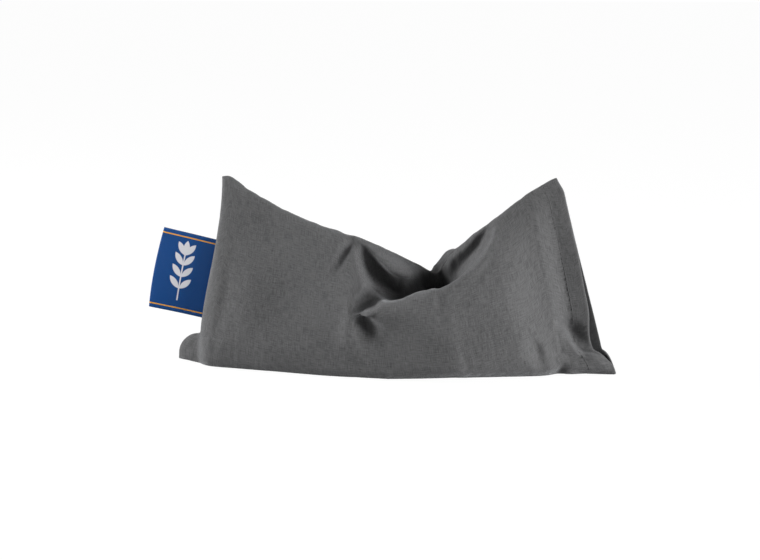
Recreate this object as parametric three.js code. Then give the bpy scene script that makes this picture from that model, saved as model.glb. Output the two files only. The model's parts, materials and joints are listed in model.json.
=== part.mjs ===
// Eye pillow: a cotton slip cover with a hemmed mouth at one end, a smaller seed-filled inner bag, and
// a folded woven label caught in the closed end seam. It is shown as a slack pillow stands when it is
// set down on a long seam: the seed spreads the base, the corners stand up, and the middle of the top
// seam sinks into a fold. Cloth layers are nested shells round one curved middle sheet.
// Millimetres, +Z up, +X along the base seam, -Y towards the face with the fold.
import * as THREE from "three";

// ---- Driving dimensions ----------------------------------------------------------------------
const BASE_LENGTH = 222; // bottom seam, corner to corner
const PANEL_HEIGHT = 105; // flat height of a cover panel between its long seams

// Top corners: how far each leans in from the base corner, how far the sag brings it below the flat
// panel height, and how much the end seam below it curves, from 0, straight, to 1, an S.
const LEFT_CORNER = { lean: 25, drop: 11, curve: 1 };
const RIGHT_CORNER = { lean: 27, drop: 6, curve: 0.1 };
const NOTCH = { x: 22, drop: 55, blend: 9 }; // lowest point of the top seam
const TOP_EDGE_BOW = { left: -3.5, right: 5 }; // seam off the straight line, corner to notch

// The bottom corners stick out as ears, below the end seams that the fill pulls in.
const LEFT_EAR = { reach: 11, height: 7 };
const RIGHT_EAR = { reach: 3, height: 7 };

// Half depths, from the middle sheet to the outside of the cloth.
const BASE_SPREAD = 0.72; // share of the slack cloth that the seed pushes out at the base
const END_HALF_DEPTH = 6; // what the fill keeps open at the ends
const TOP_HALF_DEPTH = 4.6; // just under the top seam
const BELLY_AT = 0.14; // height of the widest level, as a share of the standing height
const BASE_TUCK = 0.86; // half depth where the wall meets the base, as a share of the belly
const SHOULDER_CURVE = 1.25; // exponent of the taper from belly to top seam

// The fold: the sheet is pushed back along a line from its tip up to the notch, and fades beyond it.
const FOLD = { tipOffset: 38, tipHeight: 33, depth: 13, halfWidth: 12, fade: 36 };

const CLOTH = 0.8; // cover cloth, with its seam allowance pressed flat
const BAG_CLOTH = 0.6; // inner bag cloth
const FLAP_CLOTH = 0.5; // tuck flap cloth
const CLEARANCE = 1; // air between two cloth layers
const SEED_CLEARANCE = 1.2; // air between the inner bag and the seed
const SEAM_GAP = 0.3; // between the two panels that a seam joins
const SEAM_WALL = 1.6; // width of the pressed seam edge
const SEAM_ROUND = 10; // distance over which a panel rounds away from its seam

const MOUTH = { halfGap: 1.5, round: 13, hem: 9 }; // open end: lips, taper and hem depth
const FLAP = { reach: 30, crossing: 9, margin: 4 }; // tuck flap inside the mouth

// Inner bag: how far it stops short of the cover's seams.
const BAG_MARGIN = { left: 8, right: 14, top: 10, bottom: 2.6 };

const THREAD = 0.6; // sewing thread with its lock
const THREAD_INSET = 3.4; // from a cover seam to the row of stitches inside it
const OVERLOCK_OUT = 1.2; // from the inner bag's edge out to the thread that binds it

const LABEL = { width: 40, reach: 27, ply: 0.45, slit: 0.3, height: 43, sewnIn: 2.3 };
const LABEL_CLEARANCE = 0.3; // beside the label, where the seam lets it through
const SEAM_EASE = 5; // length over which the seam closes again above and below the label
const LABEL_HINGE_OUT = 0.7; // bending line of the label, outside the seam
const LABEL_ROOT_OUT = 0.9; // where its free part starts

// Grid of a cloth panel: spacing along the base and up the wall, closer lines beside its seams, and
// the steps of a thread.
const COLUMN_PITCH = 7.5;
const ROW_PITCH = 9.5;
const NEAR_SEAM = { closed: [0, SEAM_WALL, 5], bag: [0, 2, 6], foot: [0, 4, 9], top: [0, 2, 5] };
const NEAR_MOUTH = [0, 2, 5, MOUTH.hem];
const THREAD_PITCH = 6;
const THREAD_CURVE_SEGMENTS = 3; // half the number of sides
const THREAD_POINTS = 21; // that a row of stitches passes through

// ---- The middle sheet ------------------------------------------------------------------------
const lerp = THREE.MathUtils.lerp;
const clamp01 = (t) => THREE.MathUtils.clamp(t, 0, 1);
const smooth = (t) => THREE.MathUtils.smoothstep(t, 0, 1);

const leftTop = { x: -BASE_LENGTH / 2 + LEFT_CORNER.lean, z: PANEL_HEIGHT - LEFT_CORNER.drop };
const rightTop = { x: BASE_LENGTH / 2 - RIGHT_CORNER.lean, z: PANEL_HEIGHT - RIGHT_CORNER.drop };
const notch = { x: NOTCH.x, z: PANEL_HEIGHT - NOTCH.drop };
const foldTip = { x: notch.x - FOLD.tipOffset, z: FOLD.tipHeight };

// Height of the top seam at a share u of the sheet's length.
function topHeight(u) {
  const x = lerp(leftTop.x, rightTop.x, u);
  const [a, b, bow] =
    x < notch.x ? [leftTop, notch, TOP_EDGE_BOW.left] : [notch, rightTop, TOP_EDGE_BOW.right];
  const t = (x - a.x) / (b.x - a.x);
  return lerp(a.z, b.z, t) + bow * 4 * t * (1 - t);
}

// An end seam, from the tip of its ear up to the top corner, measured in from the base corner.
function endSeamInset(ear, corner, z, w) {
  const pulledIn = ear.reach * (1 - Math.exp(-((z / ear.height) ** 2)));
  return pulledIn + (corner.lean - ear.reach) * lerp(w, smooth(w), corner.curve);
}

const leftSeamX = (z, w) => -BASE_LENGTH / 2 + endSeamInset(LEFT_EAR, LEFT_CORNER, z, w);
const rightSeamX = (z, w) => BASE_LENGTH / 2 - endSeamInset(RIGHT_EAR, RIGHT_CORNER, z, w);

// How far the fold pushes the sheet back at a place on it.
function foldPush(x, z) {
  const run = { x: notch.x - foldTip.x, z: notch.z - foldTip.z };
  const length = Math.hypot(run.x, run.z);
  const along = ((x - foldTip.x) * run.x + (z - foldTip.z) * run.z) / length;
  const off = ((z - foldTip.z) * run.x - (x - foldTip.x) * run.z) / length;
  const strength = smooth(along / length) * (1 - smooth((along - length) / FOLD.fade));
  return FOLD.depth * strength * Math.exp(-((off / FOLD.halfWidth) ** 2));
}

// A place on the sheet, for a height z above the floor at a share u of the length.
function sheetAt(u, z) {
  const height = topHeight(u);
  const w = z / height;
  const left = leftSeamX(z, w);
  const right = rightSeamX(z, w);
  const x = lerp(left, right, u);
  return { u, x, z, w, height, toLeft: x - left, toRight: right - x, toTop: height - z };
}

// ---- Half depths -----------------------------------------------------------------------------
// Rounds from 0 at a seam to 1 at a distance from it, as a quarter ellipse.
const rounded = (distance, reach) => Math.sqrt(1 - (1 - clamp01(distance / reach)) ** 2);

// The filled body's half depth, before the seams draw it in. The notch blends into its neighbours.
function bodyHalfDepth(place) {
  const height = notch.z + Math.hypot(place.height - notch.z, NOTCH.blend);
  const slack = (PANEL_HEIGHT ** 2 - height ** 2) / (2 * PANEL_HEIGHT);
  const belly = END_HALF_DEPTH + BASE_SPREAD * slack;
  if (place.w < BELLY_AT) {
    return belly * (1 - (1 - BASE_TUCK) * (1 - place.w / BELLY_AT) ** 2);
  }
  const rise = clamp01((place.w - BELLY_AT) / (1 - BELLY_AT));
  return lerp(belly, TOP_HALF_DEPTH, rise ** SHOULDER_CURVE);
}

// From the middle sheet to the outside of the cover.
function coverHalfDepth(place) {
  const mouth = CLOTH + MOUTH.halfGap;
  const body = lerp(mouth, bodyHalfDepth(place), rounded(place.toRight, MOUTH.round));
  return body * rounded(place.toLeft, SEAM_ROUND) * rounded(place.toTop, SEAM_ROUND);
}

// Half the gap at a seam, opened where the label passes through the end seam.
function seamHalfGap(place) {
  const half = SEAM_GAP / 2;
  const open = LABEL.ply + LABEL.slit / 2 + LABEL_CLEARANCE;
  const beyond = Math.abs(place.z - LABEL.height) - LABEL.width / 2;
  const besideLabel = 1 - smooth((beyond - SEAM_EASE) / SEAM_EASE);
  const atEndSeam = 1 - clamp01((place.toLeft - SEAM_WALL - LABEL.sewnIn) / SEAM_WALL);
  return lerp(half, open, besideLabel * clamp01(atEndSeam));
}

const FRONT = -1;
const BACK = 1;

// How far the inner bag stays inside the cover: the tuck flap lies between them on the front.
const bagInset = (side) => CLOTH + CLEARANCE + (side === FRONT ? FLAP_CLOTH + CLEARANCE : 0);

// From the middle sheet to the outside of a layer that lies an inset inside the cover's surface and
// stops short of its seams by margins.
function layerHalfDepth(place, inset, margins) {
  const toEdge = Math.min(
    place.toLeft - margins.left,
    place.toRight - margins.right,
    place.toTop - margins.top,
  );
  return (coverHalfDepth(place) - inset) * rounded(toEdge, SEAM_ROUND);
}

const bagHalfDepth = (place, side) => layerHalfDepth(place, bagInset(side), BAG_MARGIN);

// ---- Solids from grids of points ---------------------------------------------------------------
// Shares of a length: close together at both seams, even between.
function shares(length, nearStart, nearEnd, between) {
  const start = nearStart.map((d) => d / length);
  const end = nearEnd.map((d) => 1 - d / length).reverse();
  const first = start.at(-1);
  const step = (end[0] - first) / between;
  const middle = Array.from({ length: between - 1 }, (_, i) => first + step * (i + 1));
  return [...start, ...middle, ...end];
}

const coverSteps = Math.round(BASE_LENGTH / COLUMN_PITCH);
const bagSteps = Math.round((0.8 * BASE_LENGTH) / COLUMN_PITCH);
const wallSteps = Math.round((0.75 * PANEL_HEIGHT) / ROW_PITCH);
const coverColumns = shares(BASE_LENGTH, NEAR_SEAM.closed, NEAR_MOUTH, coverSteps);
const bagColumns = shares(BASE_LENGTH, NEAR_SEAM.bag, NEAR_SEAM.bag, bagSteps);
const wallRows = shares(PANEL_HEIGHT, NEAR_SEAM.foot, NEAR_SEAM.top, wallSteps);

// A panel's grid: first the base from the bottom seam to the belly's foot, then the wall up to the
// top seam. margins say how far the layer stops short of the cover's seams, and halfDepth gives its
// distance from the sheet at a place.
function panelGrid({ side, columns, margins, halfDepth, edgeHalf }) {
  const first = margins.left / BASE_LENGTH;
  const last = 1 - margins.right / BASE_LENGTH;
  const pointAt = (place, y) =>
    new THREE.Vector3(place.x, side * y + foldPush(place.x, place.z), place.z);
  const atColumn = (share) => {
    const u = lerp(first, last, share);
    const ceiling = topHeight(u) - margins.top;
    const wall = wallRows.map((row) => {
      const place = sheetAt(u, lerp(margins.bottom, ceiling, row));
      const onEdge = share === 0 || row === 1 || (share === 1 && margins.right > 0);
      const depth = onEdge ? edgeHalf(place) : Math.max(halfDepth(place), edgeHalf(place));
      return pointAt(place, depth);
    });
    const foot = sheetAt(u, margins.bottom);
    const footHalf = share === 0 ? edgeHalf(foot) : Math.max(halfDepth(foot), edgeHalf(foot));
    const seamHalf = edgeHalf(foot);
    // On an edge where the wall has no depth the base narrows to a sliver, but keeps its points.
    const reach = Math.max(footHalf, seamHalf + SEAM_GAP);
    wall[0] = pointAt(foot, reach);
    return [pointAt(foot, seamHalf), pointAt(foot, (seamHalf + reach) / 2), ...wall];
  };
  return columns.map(atColumn);
}

// Closes two matching grids of points, an outer and an inner one, into one solid facing out.
function solidBetween(outer, inner) {
  const columns = outer.length;
  const rows = outer[0].length;
  const points = [...outer.flat(), ...inner.flat()];
  const at = (layer, i, j) => layer * columns * rows + i * rows + j;
  const index = [];
  const quad = (a, b, c, d) => index.push(a, b, c, a, c, d);
  for (let i = 0; i < columns - 1; i++) {
    for (let j = 0; j < rows - 1; j++) {
      quad(at(0, i, j), at(0, i + 1, j), at(0, i + 1, j + 1), at(0, i, j + 1));
      quad(at(1, i, j), at(1, i, j + 1), at(1, i + 1, j + 1), at(1, i + 1, j));
    }
    quad(at(0, i, 0), at(1, i, 0), at(1, i + 1, 0), at(0, i + 1, 0));
    quad(at(0, i, rows - 1), at(0, i + 1, rows - 1), at(1, i + 1, rows - 1), at(1, i, rows - 1));
  }
  for (let j = 0; j < rows - 1; j++) {
    quad(at(0, 0, j), at(0, 0, j + 1), at(1, 0, j + 1), at(1, 0, j));
    const last = columns - 1;
    quad(at(0, last, j), at(1, last, j), at(1, last, j + 1), at(0, last, j + 1));
  }
  return facingOut(points, index);
}

// A geometry from points and triangles, with the triangles turned so that the volume is positive.
function facingOut(points, index) {
  let volume = 0;
  for (let i = 0; i < index.length; i += 3) {
    const [a, b, c] = [points[index[i]], points[index[i + 1]], points[index[i + 2]]];
    volume += a.dot(new THREE.Vector3().crossVectors(b, c)) / 6;
  }
  const turned = volume < 0 ? index.map((_, i) => index[i - (i % 3) + (2 - (i % 3))]) : index;
  const geometry = new THREE.BufferGeometry().setFromPoints(points).setIndex(turned);
  geometry.computeVertexNormals();
  return geometry;
}

// A thread of round section through a list of points.
function threadAlong(points) {
  const section = new THREE.Shape();
  section.absarc(0, 0, THREAD / 2, 0, 2 * Math.PI);
  const path = new THREE.CatmullRomCurve3(points);
  return new THREE.ExtrudeGeometry(section, {
    extrudePath: path,
    steps: Math.round(path.getLength() / THREAD_PITCH),
    curveSegments: THREAD_CURVE_SEGMENTS,
    bevelEnabled: false,
  });
}

// ---- Materials -------------------------------------------------------------------------------
const finish = (color, roughness) => new THREE.MeshStandardMaterial({ color, roughness, metalness: 0 });
const charcoalCotton = finish(0x4f4f50, 0.95);
const calico = finish(0xd8cbb0, 0.95);
const linseed = finish(0x6b4526, 0.6);
const charcoalThread = finish(0x454546, 0.7);
const labelSatin = finish(0x0b3f80, 0.55);

// ---- Pieces ----------------------------------------------------------------------------------
const pillow = new THREE.Group();

function addPiece(name, geometry, material) {
  const mesh = new THREE.Mesh(geometry, material);
  mesh.name = name;
  pillow.add(mesh);
  return mesh;
}

function addCoverPanel(name, side) {
  const outer = panelGrid({
    side,
    columns: coverColumns,
    margins: { left: 0, right: 0, top: 0, bottom: 0 },
    halfDepth: coverHalfDepth,
    edgeHalf: seamHalfGap,
  });
  const inner = panelGrid({
    side,
    columns: coverColumns,
    margins: { left: SEAM_WALL, right: 0, top: SEAM_WALL, bottom: CLOTH },
    halfDepth: (place) => coverHalfDepth(place) - CLOTH,
    edgeHalf: seamHalfGap,
  });
  addPiece(name, solidBetween(outer, inner), charcoalCotton);
}

function addBagPanel(name, side) {
  const edge = () => SEAM_GAP / 2;
  const inside = {
    left: BAG_MARGIN.left + SEAM_WALL,
    right: BAG_MARGIN.right + SEAM_WALL,
    top: BAG_MARGIN.top + SEAM_WALL,
    bottom: BAG_MARGIN.bottom + BAG_CLOTH,
  };
  const outer = panelGrid({
    side,
    columns: bagColumns,
    margins: BAG_MARGIN,
    halfDepth: (place) => bagHalfDepth(place, side),
    edgeHalf: edge,
  });
  const inner = panelGrid({
    side,
    columns: bagColumns,
    margins: inside,
    halfDepth: (place) => bagHalfDepth(place, side) - BAG_CLOTH,
    edgeHalf: edge,
  });
  addPiece(name, solidBetween(outer, inner), calico);
}

// The seed lies inside the bag as one body.
function addSeedFill(name) {
  const beside = 2 * SEAM_WALL;
  const within = BAG_CLOTH + SEED_CLEARANCE;
  const margins = {
    left: BAG_MARGIN.left + beside,
    right: BAG_MARGIN.right + beside,
    top: BAG_MARGIN.top + beside,
    bottom: BAG_MARGIN.bottom + within,
  };
  const edge = () => SEAM_GAP / 2;
  const half = (side) =>
    panelGrid({
      side,
      columns: bagColumns,
      margins,
      halfDepth: (place) => layerHalfDepth(place, bagInset(side) + within, margins),
      edgeHalf: edge,
    });
  addPiece(name, solidBetween(half(FRONT), half(BACK)), linseed);
}

// The flap starts inside the back lip of the mouth, crosses to the front round the end of the inner
// bag, and lies against the front panel.
function addTuckFlap(name) {
  const alongShares = [0, 0.08, 0.17, 0.26, 0.36, 0.46, 0.56, 0.68, 0.84, 1];
  const upShares = [0, 0.1, 0.22, 0.36, 0.5, 0.64, 0.78, 0.9, 1];
  const side = (offset) =>
    alongShares.map((t) => {
      const fromMouth = CLEARANCE + t * FLAP.reach;
      const u = 1 - fromMouth / BASE_LENGTH;
      return upShares.map((row) => {
        const place = sheetAt(u, lerp(FLAP.margin, topHeight(u) - FLAP.margin, row));
        const atFront = coverHalfDepth(place) - CLOTH - CLEARANCE - FLAP_CLOTH / 2;
        const atBackLip = MOUTH.halfGap - CLEARANCE + FLAP_CLOTH / 2;
        const crossing = smooth(fromMouth / FLAP.crossing);
        const y = lerp(atBackLip, -atFront, crossing) + offset;
        return new THREE.Vector3(place.x, y + foldPush(place.x, place.z), place.z);
      });
    });
  addPiece(name, solidBetween(side(-FLAP_CLOTH / 2), side(FLAP_CLOTH / 2)), charcoalCotton);
}

// Rows of stitches. The cover is sewn inside out, so its rows lie inside the turned seams.
function sheetPoint(u, z, y = 0) {
  const place = sheetAt(u, z);
  return new THREE.Vector3(place.x, y + foldPush(place.x, place.z), place.z);
}

const evenShares = Array.from({ length: THREAD_POINTS }, (_, i) => i / (THREAD_POINTS - 1));

function addSeamThreads() {
  const endShare = THREAD_INSET / BASE_LENGTH;
  const lengthwise = evenShares.map((t) => lerp(2 * endShare, 1 - 2 * endShare, t));
  const underBag = CLOTH + (BAG_MARGIN.bottom - CLOTH) / 2;

  const top = lengthwise.map((u) => sheetPoint(u, topHeight(u) - THREAD_INSET));
  addPiece("top_seam_thread", threadAlong(top), charcoalThread);

  const bottom = lengthwise.map((u) => sheetPoint(u, underBag));
  addPiece("bottom_seam_thread", threadAlong(bottom), charcoalThread);

  const low = 2 * THREAD_INSET;
  const high = topHeight(endShare) - 2 * THREAD_INSET;
  const left = evenShares.map((t) => {
    const z = lerp(low, high, t);
    const along = (LABEL.sewnIn + SEAM_WALL + THREAD) / BASE_LENGTH;
    return sheetPoint(along, z);
  });
  addPiece("end_seam_thread", threadAlong(left), charcoalThread);
}

// The hem rows run up both lips of the mouth, on the outside of the cloth.
function addHemThread(name, side) {
  const u = 1 - MOUTH.hem / BASE_LENGTH;
  const ceiling = topHeight(u);
  const rows = wallRows.slice(1, -3);
  const lift = CLEARANCE / 2 + THREAD / 2;
  const points = rows.map((row) => {
    const place = sheetAt(u, row * ceiling);
    return sheetPoint(u, place.z, side * (coverHalfDepth(place) + lift));
  });
  addPiece(name, threadAlong(points), charcoalThread);
}

// The inner bag's panels are overlocked together round their edges; the base seam's row lies flat
// inside, under the seed.
function addBagThreads() {
  const uLeft = (out) => (BAG_MARGIN.left - out) / BASE_LENGTH;
  const uRight = (out) => 1 - (BAG_MARGIN.right - out) / BASE_LENGTH;
  const ceiling = (u) => topHeight(u) - BAG_MARGIN.top;
  const insideBase = BAG_MARGIN.bottom + BAG_CLOTH + SEED_CLEARANCE / 2;
  const row = (from, to, height) =>
    evenShares.map((t) => {
      const u = lerp(from, to, t);
      return sheetPoint(u, height(u));
    });
  const end = (u) => evenShares.map((t) => sheetPoint(u, lerp(THREAD_INSET, ceiling(u), t)));
  const rows = {
    inner_bag_top_thread: row(uLeft(0), uRight(0), (u) => ceiling(u) + OVERLOCK_OUT),
    inner_bag_bottom_thread: row(uLeft(-THREAD_INSET), uRight(-THREAD_INSET), () => insideBase),
    inner_bag_closed_end_thread: end(uLeft(OVERLOCK_OUT)),
    inner_bag_filling_end_thread: end(uRight(OVERLOCK_OUT)),
  };
  for (const [name, points] of Object.entries(rows)) {
    addPiece(name, threadAlong(points), calico);
  }
}

// The label: a ribbon folded in half, its fold outwards and its cut ends in the end seam. Its own
// frame has x outwards from the seam, y up along it and z towards the back.
function labelFrame() {
  const seamPoint = (z) => sheetPoint(0, z);
  const root = seamPoint(LABEL.height);
  const below = seamPoint(LABEL.height - LABEL.width / 2);
  const above = seamPoint(LABEL.height + LABEL.width / 2);
  const up = above.clone().sub(below).setY(0).normalize();
  const back = new THREE.Vector3(0, 1, 0);
  const outwards = new THREE.Vector3().crossVectors(up, back);
  return new THREE.Matrix4().makeBasis(outwards, up, back).setPosition(root);
}

function addLabel() {
  const half = LABEL.ply + LABEL.slit / 2;
  const frame = labelFrame();
  const place = (geometry) => {
    geometry.rotateX(Math.PI / 2); // drawn in x and z, extruded along y
    geometry.translate(0, LABEL.width / 2, 0);
    return geometry.applyMatrix4(frame);
  };
  const extrude = (shape) =>
    new THREE.ExtrudeGeometry(shape, {
      depth: LABEL.width,
      bevelEnabled: false,
      curveSegments: 6,
    });

  const foldAt = LABEL.reach - half;
  const loop = new THREE.Shape();
  loop.moveTo(LABEL_ROOT_OUT, -half);
  loop.lineTo(foldAt, -half);
  loop.absarc(foldAt, 0, half, -Math.PI / 2, Math.PI / 2, false);
  loop.lineTo(LABEL_ROOT_OUT, half);
  loop.lineTo(LABEL_ROOT_OUT, LABEL.slit / 2);
  loop.lineTo(foldAt, LABEL.slit / 2);
  loop.absarc(foldAt, 0, LABEL.slit / 2, Math.PI / 2, -Math.PI / 2, true);
  loop.lineTo(LABEL_ROOT_OUT, -LABEL.slit / 2);
  loop.closePath();
  addPiece("label_loop", place(extrude(loop)), labelSatin);

  const ends = new THREE.Shape();
  ends.moveTo(-LABEL.sewnIn, -half);
  ends.lineTo(0, -half);
  ends.lineTo(0, half);
  ends.lineTo(-LABEL.sewnIn, half);
  ends.closePath();
  addPiece("label_sewn_ends", place(extrude(ends)), labelSatin);
}

addCoverPanel("cover_front_panel", FRONT);
addCoverPanel("cover_back_panel", BACK);
addTuckFlap("cover_tuck_flap");
addSeamThreads();
addHemThread("front_hem_thread", FRONT);
addHemThread("back_hem_thread", BACK);
addBagPanel("inner_bag_front", FRONT);
addBagPanel("inner_bag_back", BACK);
addBagThreads();
addSeedFill("seed_fill");
addLabel();

// The origin is under the middle of the whole box, on the surface it stands on.
const box = new THREE.Box3().setFromObject(pillow);
const centre = box.getCenter(new THREE.Vector3());
pillow.position.set(-centre.x, -centre.y, -box.min.z);

export default pillow;
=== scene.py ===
"""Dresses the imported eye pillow: cotton slip cover, inner bag of linseed, and folded woven label.

The pillow stands slumped on its long base seam. Its cloth is built as two panels, sewn together as a
grid of threads would be, folded as the slack cloth folds, and then settled by a cloth simulation.
Sizes inside the classes are millimetres; meshes are made in metres.
"""
import json
import logging
import math
from dataclasses import dataclass, field
from enum import Enum

import bmesh
import bpy
import numpy as np
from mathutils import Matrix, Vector
from mathutils.kdtree import KDTree


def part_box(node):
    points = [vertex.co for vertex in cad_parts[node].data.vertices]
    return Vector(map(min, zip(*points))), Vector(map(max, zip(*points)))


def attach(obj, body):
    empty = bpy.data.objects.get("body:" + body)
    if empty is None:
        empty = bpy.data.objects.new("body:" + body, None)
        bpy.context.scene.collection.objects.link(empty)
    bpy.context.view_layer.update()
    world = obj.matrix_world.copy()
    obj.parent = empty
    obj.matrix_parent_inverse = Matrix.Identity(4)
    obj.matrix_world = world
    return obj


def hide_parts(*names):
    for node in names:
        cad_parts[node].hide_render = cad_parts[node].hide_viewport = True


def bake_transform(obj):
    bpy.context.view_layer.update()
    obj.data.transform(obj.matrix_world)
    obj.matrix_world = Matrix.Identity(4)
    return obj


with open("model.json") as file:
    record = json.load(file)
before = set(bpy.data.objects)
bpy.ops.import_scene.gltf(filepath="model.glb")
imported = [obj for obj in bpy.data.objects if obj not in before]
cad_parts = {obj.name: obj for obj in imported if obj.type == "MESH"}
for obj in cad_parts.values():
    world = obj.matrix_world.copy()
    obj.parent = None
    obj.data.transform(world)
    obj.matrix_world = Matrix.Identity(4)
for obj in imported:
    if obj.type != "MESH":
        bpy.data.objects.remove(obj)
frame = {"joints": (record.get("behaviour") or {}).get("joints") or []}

logging.basicConfig(level=logging.INFO, format="%(name)s: %(message)s")
log = logging.getLogger("eye_pillow")

MM = 0.001
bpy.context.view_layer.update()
Array = np.ndarray
Socket = bpy.types.NodeSocket
Inputs = dict[str | int, object]
Thing = bpy.types.Object
Quads = list[tuple[int, ...]]
Triple = tuple[float, float, float]


class Side(Enum):
    """A face of the pillow, by the sign of y that it looks along."""

    FRONT = -1
    BACK = 1


Skins = dict[Side, Array]

# ---- Small curves ------------------------------------------------------------------------------


def smooth(t: Array) -> Array:
    """Eases t from 0 to 1, with no slope at either end."""
    t = np.clip(t, 0.0, 1.0)
    return t * t * (3.0 - 2.0 * t)


def bell(t: Array) -> Array:
    """A Gaussian bump of height 1 and reach about 1."""
    return np.exp(-np.square(t))


def rounded(distance: Array, reach: float) -> Array:
    """Rises from 0 at a seam to 1 at a distance from it, as a quarter ellipse."""
    return np.sqrt(1.0 - np.square(1.0 - np.clip(distance / reach, 0.0, 1.0)))


def unit(vectors: Array) -> Array:
    """Vectors scaled to length 1."""
    return vectors / np.maximum(np.linalg.norm(vectors, axis=-1, keepdims=True), 1e-9)


def walked(line: Array) -> Array:
    """Distance along a line at each of its points."""
    return np.concatenate([[0.0], np.cumsum(np.linalg.norm(np.diff(line, axis=0), axis=1))])


def read_off(at: Array, walk: Array, values: Array) -> Array:
    """Rows of values at some distances along a line, which has a row of them at each distance walked."""
    return np.stack([np.interp(at, walk, column) for column in values.T], axis=-1)


def through(values: Array, at: Array) -> Array:
    """Values of a smooth curve through evenly spaced rows.

    Args:
        values: One row per knot, of one or more numbers.
        at: Places along the curve, from 0 to the number of knots less 1.

    Returns:
        A row of interpolated numbers for each place.
    """
    values = np.asarray(values, float)
    last = len(values) - 1
    span = np.clip(np.floor(at).astype(int), 0, last - 1)
    t = at - span
    rows = [values[np.clip(span + k, 0, last)] for k in (-1, 0, 1, 2)]
    if values.ndim > 1:
        t = t[:, None]
    a, b, c, d = rows
    return 0.5 * (2 * b + (c - a) * t + (2 * a - 5 * b + 4 * c - d) * t**2 + (3 * (b - c) + d - a) * t**3)


@dataclass(frozen=True)
class Ripple:
    """Gentle, repeatable unevenness: a sum of waves in many directions.

    Args:
        shortest: Shortest wavelength, in the units of its coordinates.
        longest: Longest wavelength.
        waves: Number of waves.
        seed: Picks the directions and phases.
    """

    shortest: float
    longest: float
    waves: int = 14
    seed: int = 1

    def at(self, a: Array, b: Array) -> Array:
        """Height of the ripple, about -1 to 1, at coordinates a and b."""
        random = np.random.default_rng(self.seed)
        total = np.zeros(np.broadcast(a, b).shape)
        for length in np.geomspace(self.shortest, self.longest, self.waves):
            turn, phase = random.uniform(0.0, 2.0 * math.pi, 2)
            along = a * math.cos(turn) + b * math.sin(turn)
            total += np.sin(along * 2.0 * math.pi / length + phase) * length / self.longest
        return total / math.sqrt(self.waves)


# ---- The shape of the cloth ----------------------------------------------------------------------


# How finely a pull's line is followed, how many reaches away it is still felt, and how its distances
# are weighed along x, y and z: depth counts less, because a fold runs deep.
STEPS_PER_SPAN = 12
FELT_TO = 2.4
ACROSS_SCALE = np.array([1.0, 0.45, 1.0])


@dataclass(frozen=True)
class Pull:
    """A tug at the cloth along a smooth line in space, as fingers would fold it.

    Args:
        knots: Rows of (x, y, z, back, up, reach): points of the line, how far the cloth there moves back
            and up, and how far from the line the tug is felt.
        sharp: Shape of the tug across the line: 2 fades as a bell, more has a flat middle.
    """

    knots: tuple[tuple[float, ...], ...]
    sharp: float = 2.0

    def moved(self, points: Array, share: Array) -> Array:
        """Moves points that are near the line.

        Args:
            points: Places of the cloth, one row each.
            share: How freely each may move, 0 to 1.

        Returns:
            The moved places.
        """
        spans = len(self.knots) - 1
        knots = through(self.knots, np.linspace(0.0, spans, STEPS_PER_SPAN * spans))
        path, by, reach = knots[:, :3], knots[:, 3:5], knots[:, 5]
        felt = FELT_TO * max(knot[5] for knot in self.knots) / ACROSS_SCALE
        low, high = path.min(axis=0) - felt, path.max(axis=0) + felt
        near = np.flatnonzero(np.all((points > low) & (points < high), axis=1))
        if not len(near):
            return points
        gaps = np.linalg.norm((points[near, None, :] - path) * ACROSS_SCALE, axis=-1)
        nearest = np.argmin(gaps, axis=1)
        gap = gaps[np.arange(len(near)), nearest]
        weight = np.exp(-((gap / reach[nearest]) ** self.sharp)) * share[near]
        out = points.copy()
        out[near, 1:] += weight[:, None] * by[nearest]
        return out


@dataclass(frozen=True)
class Corner:
    """A top corner: how far it leans in, and how the end seam below it curves and starts."""

    lean: float
    curve: float
    foot: float


@dataclass(frozen=True)
class Ear:
    """A bottom corner that sticks out below the end seam, flat because no seed reaches into it.

    Args:
        reach: How far it sticks out.
        height: How high up it begins.
        blunt: Height of its blunt tip.
        half_depth: Half its thickness.
    """

    reach: float
    height: float
    blunt: float
    half_depth: float

    def share(self, z: Array) -> Array:
        """Share of the full reach at heights z."""
        return np.sqrt(np.clip(1.0 - np.square(np.maximum(z - self.blunt, 0.0) / self.height), 0.0, 1.0))


# The top seam, and how far the foot is tucked in along the base: (x, height) and (x, share).
TOP_SEAM = (
    (-86.0, 96.4), (-82.4, 96.6), (-78.4, 94.4), (-73.3, 90.3), (-67.0, 86.5), (-55.5, 80.3), (-38.0, 73.2),
    (-27.5, 69.9), (-22.0, 67.7), (-17.5, 66.6), (-7.8, 62.7), (2.3, 57.9), (12.0, 53.0), (19.0, 49.2),
    (22.3, 47.8), (25.5, 52.0), (28.5, 57.3), (32.5, 61.6), (40.6, 68.8), (51.0, 76.8), (63.9, 87.0),
    (73.0, 93.4), (81.7, 98.2),
)
BASE_TUCK = (
    (-100.0, 0.88), (-60.0, 0.88), (-30.0, 1.0), (0.0, 0.98), (12.0, 0.86), (32.0, 0.66), (90.0, 0.62),
)


def knots_x(u: Array) -> Array:
    """The x of the top seam at shares u of the pillow's length."""
    return TOP_SEAM[0][0] + (TOP_SEAM[-1][0] - TOP_SEAM[0][0]) * u


@dataclass(frozen=True)
class Swell:
    """A size that is greatest at one place, and fades on both sides of it."""

    most: float
    at: float
    reach: float

    def of(self, place: Array) -> Array:
        """The size at some places."""
        return self.most * bell((place - self.at) / self.reach)


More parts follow.
